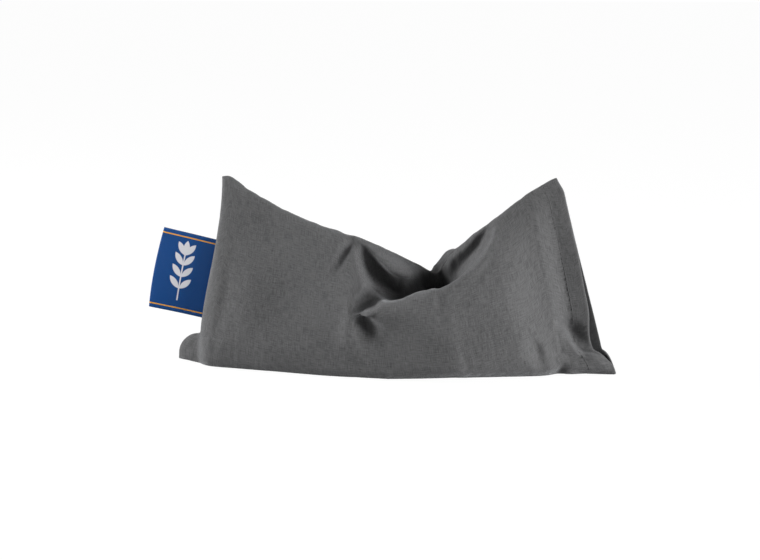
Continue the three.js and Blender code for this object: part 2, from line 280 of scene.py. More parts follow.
@dataclass(frozen=True)
class PillowForm:
    """The slumped pillow, before its folds, as two faces either side of a middle sheet.

    Its length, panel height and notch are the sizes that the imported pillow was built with. The corners
    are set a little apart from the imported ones, where the seams of the finished cloth run.
    """

    base_length: float = 222.0
    panel_height: float = 105.0
    left_corner: Corner = Corner(lean=23.8, curve=1.0, foot=10.2)
    right_corner: Corner = Corner(lean=28.6, curve=0.1, foot=4.0)
    notch_x: float = 22.0
    notch_blend: float = 9.0
    notch_room: Swell = Swell(2.3, 4.0, 27.0)
    left_ear: Ear = Ear(reach=11.6, height=11.5, blunt=4.0, half_depth=3.0)
    right_ear: Ear = Ear(reach=4.0, height=9.0, blunt=3.0, half_depth=9.5)

    base_spread: float = 0.72
    end_half_depth: float = 6.0
    top_half_depth: float = 3.4
    belly_at: float = 0.16
    foot_round: float = 5.0
    shoulder: float = 1.2
    shoulder_at_notch: float = 6.0
    notch_reach: float = 34.0
    seam_round: float = 9.0
    top_round: float = 4.5
    seam_push: float = 5.0
    push_reach: float = 26.0

    mouth_gap: float = 2.6
    gap_share: float = 0.62
    gap_more: Swell = Swell(0.38, 28.0, 24.0)
    strip: float = 18.0
    strip_narrowing: float = 0.075
    ridge: float = 9.5
    ridge_share: float = 0.56
    ridge_blend: float = 22.0
    lip_draws: tuple[Swell, Swell] = (Swell(4.6, 17.0, 12.0), Swell(1.2, 40.0, 14.0))
    lip_reach: float = 26.0
    lip_foot: Swell = Swell(1.8, 5.0, 6.0)
    lip_foot_reach: float = 9.0
    corner_cut: float = 2.2
    ear_fade: float = 26.0
    ear_round: float = 5.0
    ear_back: float = 5.0
    ear_lift: float = 0.6
    lobe_edge: tuple[float, float, float] = (11.0, 13.5, 84.5)
    lobe_fade: float = 22.0
    lobe_thinning: float = 0.2
    lobe_foot: float = 0.35

    def top_height(self, u: Array) -> Array:
        """Height of the top seam at shares u of the pillow's length."""
        knots = np.array(TOP_SEAM)
        at = np.interp(knots_x(u), knots[:, 0], np.arange(len(knots)))
        return through(knots[:, 1], np.clip(at, 0.0, len(knots) - 1.0))

    def seam_inset(self, corner: Corner, w: Array) -> Array:
        """How far an end seam lies in from the base corner, apart from the corner's ear."""
        straight = w * (1 - corner.curve) + smooth(w) * corner.curve
        return corner.foot + (corner.lean - corner.foot) * straight

    def along(self, u: Array, z: Array, w: Array) -> tuple[Array, Array, Array]:
        """The x of places on the middle sheet.

        Args:
            u: Shares of the pillow's length.
            z: Heights.
            w: Heights as shares of the standing height.

        Returns:
            The x, and the distances from the left end without its ear and from the right lip.
        """
        half = self.base_length / 2.0
        left = self.seam_inset(self.left_corner, w) - half
        right = half - self.seam_inset(self.right_corner, w) - self.corner_cut * smooth((w - 0.92) / 0.08)
        x = left + (right - left) * u
        near_left = np.square(np.clip(1.0 - u * self.base_length / self.ear_fade, 0.0, 1.0))
        near_right = np.square(np.clip(1.0 - (1.0 - u) * self.base_length / self.ear_fade, 0.0, 1.0))
        x = x - self.left_ear.reach * self.left_ear.share(z) * near_left
        x = x + self.right_ear.reach * self.right_ear.share(z) * near_right
        return x, x - left, right + self.right_ear.reach * self.right_ear.share(z) - x

    def push(self, x: Array, w: Array) -> Array:
        """How far the collapsed middle of the top seam has moved back."""
        return self.seam_push * bell((x - self.notch_x + 4.0) / self.push_reach) * smooth((w - 0.45) / 0.55)

    def body_half_depth(self, x: Array, w: Array, height: Array) -> Array:
        """Half depth of the filled body, before its seams draw it in."""
        low = min(z for _, z in TOP_SEAM)
        blended = low + np.hypot(height - low, self.notch_blend)
        slack = (self.panel_height**2 - blended**2) / (2.0 * self.panel_height)
        belly = self.end_half_depth + self.base_spread * slack
        tuck = np.interp(x, *zip(*BASE_TUCK))
        foot = 1.0 - (1.0 - tuck) * np.square(1.0 - np.clip(w / self.belly_at, 0.0, 1.0))
        rise = np.clip((w - self.belly_at) / (1.0 - self.belly_at), 0.0, 1.0)
        near = bell((x - self.notch_x - 2.0) / self.notch_reach)
        curve = self.shoulder + (self.shoulder_at_notch - self.shoulder) * near
        return belly * foot + (self.top_half_depth - belly) * rise**curve

    def standing_share(self, u: Array, z: Array, height: Array) -> Array:
        """Heights as shares of the standing height, evened along the seam except close to it."""
        steps = (-0.05, -0.025, 0.0, 0.025, 0.05)
        even = sum(self.top_height(np.clip(u + step, 0.0, 1.0)) for step in steps) / len(steps)
        return z / (even + (height - even) * np.clip(z / height, 0.0, 1.0) ** 3)

    def lobe(self, x: Array, z: Array, to_right: Array) -> Array:
        """Half depth of the open end's ear, whose crest rises from the tip to the filled foot."""
        low, more, start = self.lobe_edge
        edge = low + more * (1.0 - smooth((x - start) / 14.0))
        depth = self.right_ear.half_depth - self.lobe_thinning * np.maximum(x - start, 0.0)
        depth = depth * smooth((edge - z) / 4.0 + 0.5) * smooth((x - start + self.lobe_fade) / self.lobe_fade)
        depth = depth * rounded(to_right, self.ear_round)
        return depth * (self.lobe_foot + (1.0 - self.lobe_foot) * smooth((z + 0.5) / 5.0))

    def with_bent_ear(self, points: Array) -> Array:
        """Places of the cloth with the closed end's ear bent back, and its foot lifted a little."""
        x, z = points[..., 0], points[..., 2]
        back = self.ear_back * smooth((-97.0 - x) / 14.0)
        lift = self.ear_lift * smooth((-98.0 - x) / 11.0) * (1.0 - smooth(z / 15.0))
        return points + np.stack([np.zeros_like(x), back, lift], axis=-1)

    def half_depth(self, side: Side, u: Array, z: Array) -> tuple[Array, Array]:
        """Distance from the middle sheet to the outside of the cloth.

        Args:
            side: The face.
            u: Shares of the pillow's length.
            z: Heights.

        Returns:
            The x of each place, and its half depth.
        """
        height = self.top_height(u)
        w = self.standing_share(u, z, height)
        x, from_left, to_right = self.along(u, z, w)
        body = self.body_half_depth(x, w, height)
        strip = self.strip - self.strip_narrowing * z
        share = self.ridge_share * smooth((to_right - strip + 6.0) / self.ridge)
        share = share + (1.0 - self.ridge_share) * smooth((to_right - strip) / self.ridge_blend)
        gap = self.mouth_gap * (self.gap_share + self.gap_more.of(z))
        filled = np.maximum(gap + (body - gap) * share, self.lobe(x, z, to_right))
        filled = filled * rounded(from_left, self.seam_round)
        ear = self.left_ear.half_depth * rounded(u * self.base_length, self.ear_round)
        depth = np.maximum(filled, ear * self.left_ear.share(z)) * rounded(height - z, self.top_round)
        if side is Side.FRONT:
            drawn = sum(draw.of(z) for draw in self.lip_draws)
            x = x - drawn * smooth(1.0 - to_right / self.lip_reach)
            x = x + self.lip_foot.of(z) * smooth(1.0 - to_right / self.lip_foot_reach)
        return x, depth


FRONT_PULLS = (
    # The lobe's rim, swollen and lifted over the fold.
    Pull((
        (-16, -21, 27, -1.5, 0, 4), (-10, -25, 30.5, -3, 0.5, 5), (0, -27, 34, -3, 0, 6),
        (8, -28, 36.5, -3, 0.5, 6.5), (17, -28, 39.5, -2.5, 3, 6.5), (23, -27.5, 41, -2.5, 5.6, 6),
        (28.5, -25, 44, -2.5, 4.4, 5), (33, -22.5, 48.5, -3, 3, 4.5), (37.5, -19.5, 53, -3.5, 2, 4.2),
        (42, -15.5, 58.5, -3.5, 1.5, 4.2), (46, -11.5, 65, -3, 0.5, 3.8), (49, -7, 71.5, -1, 0, 3),
    )),
    # The fold itself: down from the top seam, under the notch, and up beside the seam's right half.
    Pull((
        (-18, -8, 63.5, 2.5, 0, 2.6), (-13, -12, 57.5, 9, -1.5, 4.2), (-8, -15, 51.5, 15, -4, 5.6),
        (-2.5, -16, 46.8, 19, -8, 6.2), (4, -14, 45, 19.5, -11, 5.6), (13, -9, 46, 18, -12.5, 5),
        (22, -7, 47.5, 16, -13, 5), (29, -10, 50.5, 12.5, -10, 5.2), (34.3, -11, 55.2, 9.5, -6, 5.2),
        (39.2, -12, 60.2, 8, -4, 5), (43.5, -10, 66, 6.5, -3, 4.4), (46.6, -8, 71, 4, -1, 3.6),
        (48.2, -5, 75.5, 0.8, 0, 2.6),
    ), sharp=3.6),
    # The short valley between the rim's left end and the left face.
    Pull((
        (-17, -19, 31, 4, 0, 2.4), (-13.5, -21, 36, 12, -1, 4), (-9, -21, 39.5, 14, -2, 5),
        (-4.5, -19, 41, 7, -1, 4.2), (0, -16, 42, 1, 0, 3),
    ), sharp=3),
    # The pocket below the rim's left end.
    Pull((
        (-13.5, -24, 32, 5, 0.5, 2.4), (-12.8, -24.5, 29.2, 11, 1.5, 4.4), (-9.6, -26, 26, 7, 0.5, 6),
        (-5, -27, 21.5, 2.4, 0, 7.4),
    )),
    # The thin lip at the rim's left end.
    Pull((
        (-17.5, -21, 30.5, -2, 0, 1.8), (-14, -23, 33.5, -4, 0, 2), (-9, -24.5, 35, -3, 0, 2.2),
        (-3, -26, 36.8, -1.2, 0, 2.4), (4, -27, 38.5, 0, 0, 3),
    )),
    # The soft ridge that runs down from the fold's tip.
    Pull((
        (-17.5, -18, 37, -1.2, 0, 3), (-18.5, -21, 28, -2.8, 0, 4), (-18, -23, 18, -2.6, 0, 5.5),
        (-12, -25, 8, -0.6, 0, 7),
    )),
    # The short crease down from the top seam, left of the fold.
    Pull((
        (-21, -6, 65.5, 3, 0, 2.2), (-24, -9, 60, 4.6, 0, 3), (-27, -11, 53, 2.8, 0, 3.6),
        (-28, -13, 45, 0, 0, 4.2),
    )),
    # The roll of cloth between the fold and the top seam, undercut along its lower edge.
    Pull((
        (-12, -8, 58.5, -1, 0, 2), (-6.5, -6, 55.2, -2.5, 0, 2.4), (-1.4, -5, 52.8, -3.5, -0.5, 2.6),
        (4, -4, 50.6, -3.5, -0.5, 2.6), (10, -3, 49.4, -2.5, -0.5, 2.4), (15, -2, 48.5, -1, 0, 2),
    ), sharp=3),
    # Soft upright folds beside the closed end.
    Pull(((-74, -10, 73, 0, 0, 7), (-69, -13, 48, -2.6, 0, 8), (-72, -13, 20, -0.8, 0, 7))),
    Pull(((-84, -8, 60, 0, 0, 3), (-83, -10, 40, 0.9, 0, 4), (-86, -11, 22, 0.4, 0, 4))),
    # Where the closed end's ear leaves the filled body.
    Pull(((-99.5, -5, 14, 0.8, 0, 1.8), (-99, -6, 9, 1.3, 0, 1.8), (-99.5, -6, 2.5, 0.4, 0, 1.8))),
    Pull(((-102.5, -3, 11, 0.6, 0, 1.3), (-104, -3, 6, 0.9, 0, 1.4), (-102.5, -3, 2, 0.3, 0, 1.3))),
    # The hollow above the open end's ear, and the ear's crest below it.
    Pull((
        (84.5, -10, 26, 2, 0, 3), (89.5, -6.5, 21.5, 4.2, 0, 4.2), (94.5, -4, 17, 1.6, -0.5, 3.6),
        (99.5, -3, 14.5, 0.2, -0.5, 2.6),
    )),
    Pull((
        (84, -14, 26, -0.8, 0, 2.4), (91, -11, 17.5, -2.2, 0.6, 2.4), (95.5, -9, 12.8, -2.2, 0.6, 2.4),
        (101, -8, 10.5, -1.6, 0.4, 2.4), (106, -6, 11.5, -0.6, 0, 2),
    )),
    # Where the ear's foot starts, to the right of the filled foot.
    Pull((
        (83, -16, 0, 4, 2, 3.2), (83.5, -13, 1, 3.5, 1.5, 3), (84, -11, 5, 1.8, 0, 2.8),
        (83, -12, 9, 0, 0, 2.8),
    )),
    # Puckers low on the right.
    Pull(((68, -16, 21, 0.4, 0, 2.4), (71.5, -16, 15, 2.4, 0, 3.2), (73, -15, 9, 1.2, 0, 3.2))),
    Pull(((73, -15, 20, -0.4, 0, 2.6), (77, -15, 13, -1.6, 0, 3.2), (79, -14, 6, -0.8, 0, 3.2))),
)

BACK_PULLS = (
    # The back panel's lip, which stands above the seam behind the notch.
    Pull((
        (20, 7, 48, 1, 9, 1.5), (22, 8, 48.5, 2, 10, 3.4), (25.5, 8, 52, 2.5, 7.5, 4.6),
        (29, 8, 58, 1, 2.5, 4.6), (33, 7, 62, 0, 0, 4),
    ), sharp=4),
    Pull((
        (-14, 22, 40, -0.5, 0, 5), (0, 25, 44, -3, -1, 5), (12, 26, 44.5, -5, -1.5, 5),
        (26, 24, 46, -2, -0.5, 5),
    )),
    Pull(((-2, 28, 35, 1, 0, 5), (14, 31, 37, 3, 0, 7), (30, 29, 42, 3, 0, 7), (44, 22, 52, 1, 0, 7))),
    Pull(((-40, 12, 66, -1.2, 0, 5), (-34, 16, 52, -1.8, 0, 6), (-26, 22, 34, 0, 0, 6))),
    Pull(((60, 10, 74, -1, 0, 5), (64, 14, 52, -1.5, 0, 7), (60, 20, 28, 0, 0, 6))),
)


@dataclass(frozen=True)
class ClothFace:
    """One face of the pillow as a grid of cloth: columns run up from the base seam to the top seam.

    Args:
        points: Places in millimetres, from the middle of the base seam, as columns of rows.
        cloth: The same points on the flat panel: along the base, and up from the base seam.
    """

    points: Array
    cloth: Array

    def normals(self, side: Side) -> Array:
        """The direction out of the pillow at every point."""
        along = np.gradient(self.points, axis=0)
        upward = np.gradient(self.points, axis=1)
        return unit(np.cross(along, upward) * -side.value)


THINNEST = 0.05


@dataclass(frozen=True)
class FaceBuilder:
    """Builds a face of the form, or of a layer inside it, as an even grid of cloth.

    Args:
        form: The pillow's form.
        side: The face.
        inset: How far the layer lies inside the cloth's outer surface.
        margins: How far it stops short of the left seam, right lip, top seam and base seam.
        columns: Grid columns.
        rows: Grid rows.
        extra: How much more than the cover the layer is pulled.
    """

    form: PillowForm
    side: Side
    inset: float = 0.0
    margins: tuple[float, float, float, float] = (0.0, 0.0, 0.0, 0.0)
    columns: int = 164
    rows: int = 104
    extra: float = 0.0

    def columns_of_points(self, u: Array, samples: int = 380) -> Array:
        """Finely sampled columns of the face, from the base seam to the top seam.

        Args:
            u: Share of the pillow's length for each column.
            samples: Number of points in a column.

        Returns:
            Points as columns of rows.
        """
        form = self.form
        _, _, top, bottom = self.margins
        top = top * (1.0 + form.notch_room.of(knots_x(u)[:, None]))
        ceiling = form.top_height(u)[:, None] - top
        shares = u[:, None]
        foot_x, foot_depth = form.half_depth(self.side, shares, np.full_like(shares, bottom))
        reach = np.maximum(foot_depth - self.inset, THINNEST)
        curve = np.minimum(form.foot_round, 0.6 * reach)
        inward, turning = 60, 40
        across = np.linspace(0.0, 1.0, inward, endpoint=False) * (reach - curve)
        turn = np.linspace(0.0, math.pi / 2.0, turning, endpoint=False)
        wall = np.linspace(0.0, 1.0, samples - inward - turning)
        foot = np.full((len(u), inward), float(bottom))
        rising = bottom + curve * (1 - np.cos(turn))
        z = np.concatenate([foot, rising, bottom + curve + (ceiling - bottom - curve) * wall], axis=1)
        x, depth = form.half_depth(self.side, np.broadcast_to(shares, z.shape), z)
        depth = np.maximum(depth - self.inset, 0.0)
        if self.margins[2] > 0.0:
            depth = depth * rounded(ceiling - z, form.seam_round)
        depth[:, :inward] = across
        x[:, :inward] = foot_x
        corner = (reach - curve + curve * np.sin(turn)) / reach
        depth[:, inward : inward + turning] *= corner
        y = self.side.value * depth + form.push(x, z / (ceiling + top))
        points = np.stack([x, y, z], axis=-1)
        ease = rounded(ceiling - z, 2.5) * (1.0 + self.extra)
        ease[:, :inward] *= smooth(np.linspace(-0.6, 1.0, inward))
        flat = form.with_bent_ear(points).reshape(-1, 3)
        for pull in FRONT_PULLS if self.side is Side.FRONT else BACK_PULLS:
            flat = pull.moved(flat, ease.ravel())
        return flat.reshape(points.shape)

    def build(self) -> ClothFace:
        """Builds the grid, with rows evenly spaced along the cloth of each column."""
        left, right, _, _ = self.margins
        length = self.form.base_length
        shares = np.linspace(left / length, 1.0 - right / length, self.columns)
        fine = self.columns_of_points(shares)
        steps = np.linalg.norm(np.diff(fine, axis=1), axis=-1)
        walk = np.concatenate([np.zeros((self.columns, 1)), np.cumsum(steps, axis=1)], axis=1)
        rows = np.linspace(0.0, 1.0, self.rows)
        points = np.empty((self.columns, self.rows, 3))
        cloth = np.empty((self.columns, self.rows, 2))
        for i in range(self.columns):
            at = rows * walk[i, -1]
            points[i] = read_off(at, walk[i], fine[i])
            cloth[i, :, 0] = shares[i] * length
            cloth[i, :, 1] = at
        return ClothFace(points, cloth)


# ---- Layers inside one another -------------------------------------------------------------------


class Envelope:
    """The cloth surface that an inner layer has to stay inside."""

    def __init__(self, faces: dict[Side, ClothFace]) -> None:
        """Takes the surface's points and outward directions from both faces."""
        self.points = np.concatenate([face.points.reshape(-1, 3) for face in faces.values()])
        self.normals = np.concatenate([face.normals(side).reshape(-1, 3) for side, face in faces.items()])
        self.tree = KDTree(len(self.points))
        for number, point in enumerate(self.points):
            self.tree.insert(point, number)
        self.tree.balance()

    def keep_inside(self, points: Array, gap: float, rounds: int = 3) -> Array:
        """Moves points inwards until they are clear of the surface.

        Args:
            points: Places of an inner layer, in any shape of array.
            gap: Clearance from the surface.
            rounds: Number of passes.

        Returns:
            The moved places, in the same shape.
        """
        out = points.reshape(-1, 3).copy()
        for _ in range(rounds):
            for number, point in enumerate(out):
                for _, index, _ in self.tree.find_n(point, 3):
                    over = float((out[number] - self.points[index]) @ self.normals[index]) + gap
                    if over > 0.0:
                        out[number] -= over * self.normals[index]
        return out.reshape(points.shape)


EDGES = (np.s_[0, :], np.s_[-1, :], np.s_[:, 0], np.s_[:, -1])


def edged(points: Array, seam: Array) -> Array:
    """A copy of a grid of points with its edges on another grid's."""
    out = points.copy()
    for edge in EDGES:
        out[edge] = seam[edge]
    return out


def shut(skins: Skins, middle: Array, envelope: Envelope, gap: float, closing: float) -> Skins:
    """Brings the two skins of a layer together along their edges, inside the surface around them.

    Args:
        skins: Points of each skin.
        middle: Points half way between the skins.
        envelope: The surface to stay inside.
        gap: Clearance from it.
        closing: Number of columns over which the layer closes at each end.

    Returns:
        The moved points of each skin.
    """
    columns = np.arange(len(middle))
    near_end = rounded(np.minimum(columns, columns[::-1]), closing)[:, None, None]
    kept = {
        side: envelope.keep_inside(middle + (edged(points, middle) - middle) * near_end, gap)
        for side, points in skins.items()
    }
    seam = (kept[Side.FRONT] + kept[Side.BACK]) / 2.0
    return {side: edged(points, seam) for side, points in kept.items()}


# ---- Meshes --------------------------------------------------------------------------------------


def grid_faces(columns: int, rows: int, flip: bool, first: int = 0) -> Quads:
    """Quads of a grid whose points are stored column by column.

    Args:
        columns: Number of columns.
        rows: Number of rows.
        flip: Turns the faces round.
        first: Index of the grid's first point.

    Returns:
        One tuple of four indices for each quad.
    """
    i, j = np.meshgrid(np.arange(columns - 1), np.arange(rows - 1), indexing="ij")
    a = (first + i * rows + j).ravel()
    quads = np.stack([a, a + rows, a + rows + 1, a + 1], axis=1)
    if flip:
        quads = quads[:, ::-1]
    return [tuple(q) for q in quads.tolist()]


def new_mesh(name: str, points: Array, faces: Quads, cloth: Array | None = None) -> Thing:
    """A mesh object in the frame, from points in metres.

    Args:
        name: Name of the object.
        points: One row per vertex.
        faces: Tuples of indices.
        cloth: Place of each vertex on its flat cloth, in metres, kept as the attribute "cloth".

    Returns:
        The object, linked to the scene and shaded smooth.
    """
    mesh = bpy.data.meshes.new(name)
    mesh.from_pydata(points.reshape(-1, 3).tolist(), [], faces)
    mesh.update()
    mesh.shade_smooth()
    if cloth is not None:
        attribute = mesh.attributes.new("cloth", "FLOAT_VECTOR", "POINT")
        flat = np.zeros((len(mesh.vertices), 3))
        flat[:, :2] = cloth.reshape(-1, 2)
        attribute.data.foreach_set("vector", flat.ravel())
    thing = bpy.data.objects.new(name, mesh)
    bpy.context.scene.collection.objects.link(thing)
    return thing


def evaluated_points(thing: Thing) -> Array:
    """The vertices of an object with its modifiers, in metres."""
    graph = bpy.context.evaluated_depsgraph_get()
    shown = thing.evaluated_get(graph)
    mesh = shown.to_mesh()
    points = np.empty(len(mesh.vertices) * 3)
    mesh.vertices.foreach_get("co", points)
    shown.to_mesh_clear()
    return points.reshape(-1, 3)


def thicken(thing: Thing, thickness: float, offset: float = -1.0) -> bpy.types.Modifier:
    """Gives a sheet its thickness, inwards from its outer face unless the offset says otherwise."""
    shell = thing.modifiers.new("thickness", "SOLIDIFY")
    shell.thickness = thickness * MM
    shell.offset = offset
    return shell


def weld(thing: Thing) -> None:
    """Joins the points of a mesh that coincide and turns its faces outwards."""
    work = bmesh.new()
    work.from_mesh(thing.data)
    bmesh.ops.remove_doubles(work, verts=work.verts, dist=1e-6)
    bmesh.ops.recalc_face_normals(work, faces=work.faces)
    work.to_mesh(thing.data)
    work.free()


@dataclass(frozen=True)
class Drape:
    """Settles the built cover as slack cloth, so that its folds and small buckles are real ones.

    Args:
        frames: Frames of simulation.
        ease: Share by which the cloth is larger than the form it was built on.
        hold: How firmly the cloth keeps to its built place, away from the seams.
        pressure: Push of the filling from inside.
        furthest: Most that a point may move.
        edge_hold: How firmly the lips and the foot keep to their places.
        foot_height: Height below which the cloth counts as the foot.
    """

    frames: int = 16
    ease: float = 0.012
    hold: float = 0.4
    edge_hold: float = 0.9
    foot_height: float = 1.2
    pressure: float = 0.5
    furthest: float = 1.6

    def settle(self, front: ClothFace, back: ClothFace) -> tuple[ClothFace, ClothFace]:
        """Simulates both faces as one sewn bag.

        Args:
            front: The front face.
            back: The back face, with as many columns and rows.

        Returns:
            Both faces, settled.
        """
        columns, rows = front.points.shape[:2]
        count = columns * rows
        twin = np.arange(count).reshape(columns, rows)
        shared = np.zeros((columns, rows), bool)
        shared[0, :] = shared[:, 0] = shared[:, -1] = True
        index = np.where(shared, twin, twin + count)
        points = np.concatenate([front.points.reshape(-1, 3), back.points.reshape(-1, 3)])
        kept = np.unique(np.concatenate([np.arange(count), index.ravel()]))
        place = np.full(2 * count, -1)
        place[kept] = np.arange(len(kept))
        front_faces = np.array(grid_faces(columns, rows, flip=False))
        back_faces = index.ravel()[np.array(grid_faces(columns, rows, flip=True))]
        faces = place[np.concatenate([front_faces, back_faces])].tolist()
        bag = new_mesh("bag_for_settling", points[kept] * MM, faces)

        held = np.full(2 * count, self.hold)
        held[twin[shared]] = 1.0
        held[twin[-1, :]] = held[index[-1, :]] = self.edge_hold
        low = points[:, 2] < self.foot_height
        held[low] = np.maximum(held[low], self.edge_hold)
        self.simulate(bag, held[kept])
        settled = evaluated_points(bag) / MM
        bpy.context.scene.frame_set(1)
        bpy.data.objects.remove(bag)

        moved = settled - points[kept]
        length = np.linalg.norm(moved, axis=1)
        limit = self.furthest * np.tanh(length / self.furthest) / np.maximum(length, 1e-9)
        log.info("settled cloth: moved %.2f mm at most, %.2f mm on average", length.max(), length.mean())
        final = points.copy()
        final[kept] = points[kept] + moved * limit[:, None]
        final[:, 2] = np.maximum(final[:, 2], 0.0)
        new_front = final[:count].reshape(columns, rows, 3)
        new_back = final[index.ravel()].reshape(columns, rows, 3)
        return ClothFace(new_front, front.cloth), ClothFace(new_back, back.cloth)

    def simulate(self, bag: Thing, held: Array) -> None:
        """Runs the cloth simulation on the sewn bag, each point held to its place by its own share."""
        group = bag.vertex_groups.new(name="held")
        for weight in np.unique(held):
            group.add(np.flatnonzero(held == weight).tolist(), float(weight), "REPLACE")
        modifier = bag.modifiers.new("cloth", "CLOTH")
        settings = modifier.settings
        settings.quality = 7
        settings.mass = 0.18
        settings.tension_stiffness = settings.compression_stiffness = 30.0
        settings.shear_stiffness = 12.0
        settings.bending_stiffness = 0.35
        settings.vertex_group_mass = "held"
        settings.pin_stiffness = 1.0
        settings.shrink_min = settings.shrink_max = -self.ease
        settings.use_pressure = True
        settings.uniform_pressure_force = self.pressure
        settings.effector_weights.gravity = 0.1
        modifier.collision_settings.use_collision = False
        modifier.point_cache.frame_start = 1
        modifier.point_cache.frame_end = self.frames
        for number in range(1, self.frames + 1):
            bpy.context.scene.frame_set(number)


# ---- Node graphs ---------------------------------------------------------------------------------


class Graph:
    """Adds nodes to one node tree and links them."""

    def __init__(self, tree: bpy.types.NodeTree) -> None:
        """Starts on a tree."""
        self.tree = tree

    def add(self, kind: str, inputs: Inputs | None = None, **settings: object) -> bpy.types.Node:
        """Adds one node.

        Args:
            kind: Blender's name for the node type.
            inputs: Value or socket for each input, by name or number.
            **settings: Properties of the node.

        Returns:
            The node.
        """
        node = self.tree.nodes.new(kind)
        for key, value in settings.items():
            setattr(node, key, value)
        self.feed(node, inputs or {})
        return node

    def feed(self, node: bpy.types.Node, inputs: Inputs) -> None:
        """Links a socket, or sets a value, for each named or numbered input of a node."""
        for key, value in inputs.items():
            if isinstance(value, Socket):
                self.tree.links.new(value, node.inputs[key])
            else:
                node.inputs[key].default_value = value

    def math(self, operation: str, a: object, b: object = 0.0, c: object = 0.0) -> Socket:
        """One Math node's result."""
        return self.add("ShaderNodeMath", {0: a, 1: b, 2: c}, operation=operation).outputs[0]

    def ramp(self, value: object, low: float, high: float, to: tuple[float, float] = (0.0, 1.0)) -> Socket:
        """Maps the range from low to high to another, smoothly and clamped."""
        node = self.add(
            "ShaderNodeMapRange",
            {"Value": value, "From Min": low, "From Max": high, "To Min": to[0], "To Max": to[1]},
            interpolation_type="SMOOTHSTEP",
        )
        return node.outputs["Result"]

    def mix(self, factor: object, a: object, b: object) -> Socket:
        """Mixes two colours."""
        a, b = (value if isinstance(value, Socket) else (*value, 1.0) for value in (a, b))
        return self.add("ShaderNodeMix", {"Factor": factor, 6: a, 7: b}, data_type="RGBA").outputs[2]

    def squares(self, a: Socket, b: Socket) -> Socket:
        """The sum of two squares."""
        return self.math("ADD", self.math("POWER", a, 2.0), self.math("POWER", b, 2.0))

    def vector(self, operation: str, a: Socket, b: object) -> Socket:
        """One Vector Math node's result."""
        return self.add("ShaderNodeVectorMath", {0: a, 1: b}, operation=operation).outputs[0]

    def noise(self, vector: Socket, scale: object, detail: float) -> bpy.types.Node:
        """A noise texture."""
        return self.add("ShaderNodeTexNoise", {"Vector": vector, "Scale": scale, "Detail": detail})

    def bump(self, strength: float, distance: float, height: Socket) -> Socket:
        """The normal of a surface raised by a height."""
        values = {"Strength": strength, "Distance": distance, "Height": height}
        return self.add("ShaderNodeBump", values).outputs["Normal"]

    def ends(self) -> tuple[bpy.types.Node, bpy.types.Node]:
        """A group's input and output nodes."""
        return self.tree.nodes["Group Input"], self.tree.nodes["Group Output"]


VECTOR = "NodeSocketVector"
FLOAT = "NodeSocketFloat"


def new_group(name: str, inputs: dict[str, tuple], outputs: tuple[str, ...]) -> bpy.types.NodeTree:
    """An empty shader node group with its sockets.

    Args:
        name: Name of the group.
        inputs: Kind and default value of each input.
        outputs: Names of the outputs, which are numbers.

    Returns:
        The group's tree, holding its input and output nodes.
    """
    tree = bpy.data.node_groups.new(name, "ShaderNodeTree")
    for label, (kind, default) in inputs.items():
        socket = tree.interface.new_socket(label, in_out="INPUT", socket_type=kind)
        if default is not None:
            socket.default_value = default
    for label in outputs:
        tree.interface.new_socket(label, in_out="OUTPUT", socket_type=FLOAT)
    tree.nodes.new("NodeGroupInput")
    tree.nodes.new("NodeGroupOutput")
    return tree


def plain_weave() -> bpy.types.NodeTree:
    """A node group of crossing yarns: over one, under one, with thick and thin places."""
    tree = new_group(
        "plain_weave",
        {"Cloth": (VECTOR, None), "Pitch": (FLOAT, 0.0004), "Slub": (FLOAT, 0.5)},
        ("Height", "Yarn", "Slubs"),
    )
    g = Graph(tree)
    source, sink = g.ends()
    cloth, pitch = source.outputs["Cloth"], source.outputs["Pitch"]
    wander = g.noise(cloth, 900.0, 1.0).outputs["Color"]
    bent = g.vector("ADD", cloth, g.vector("MULTIPLY", wander, (0.00012, 0.00012, 0.0)))
    parts = g.add("ShaderNodeSeparateXYZ", {0: bent})
    a, b = (g.math("DIVIDE", g.math("MULTIPLY", parts.outputs[k], math.pi), pitch) for k in (0, 1))
    warp, weft = (g.math("ABSOLUTE", g.math("SINE", angle)) for angle in (a, b))
    over = g.ramp(g.math("MULTIPLY", g.math("SINE", a), g.math("SINE", b)), -0.35, 0.35)
    under = g.math("SUBTRACT", 1.0, over)
    height = g.math("ADD", g.math("MULTIPLY", warp, over), g.math("MULTIPLY", weft, under))
    stretches = ((3000.0, 210.0, 1.0), (230.0, 2700.0, 1.0))
    streaks = [g.noise(g.vector("MULTIPLY", cloth, by), 1.0, 3.0).outputs["Fac"] for by in stretches]
    slubs = g.math("MULTIPLY", g.math("ADD", *streaks), 0.5)
    level = g.math("ADD", height, g.math("MULTIPLY", slubs, source.outputs["Slub"]))
    g.feed(sink, {"Height": level, "Yarn": height, "Slubs": slubs})
    return tree


def soft_wear() -> bpy.types.NodeTree:
    """A node group of broad, faint patches, and of lint that catches the light."""
    tree = new_group(
        "soft_wear",
        {"Cloth": (VECTOR, None), "Patch size": (FLOAT, 0.03)},
        ("Patches", "Lint"),
    )
    g = Graph(tree)
    source, sink = g.ends()
    cloth = source.outputs["Cloth"]
    patches = g.noise(cloth, g.math("DIVIDE", 1.0, source.outputs["Patch size"]), 4.0).outputs["Fac"]
    lint = g.noise(cloth, 1500.0, 2.0).outputs["Fac"]
    g.feed(sink, {"Patches": patches, "Lint": g.ramp(lint, 0.62, 0.78)})
    return tree


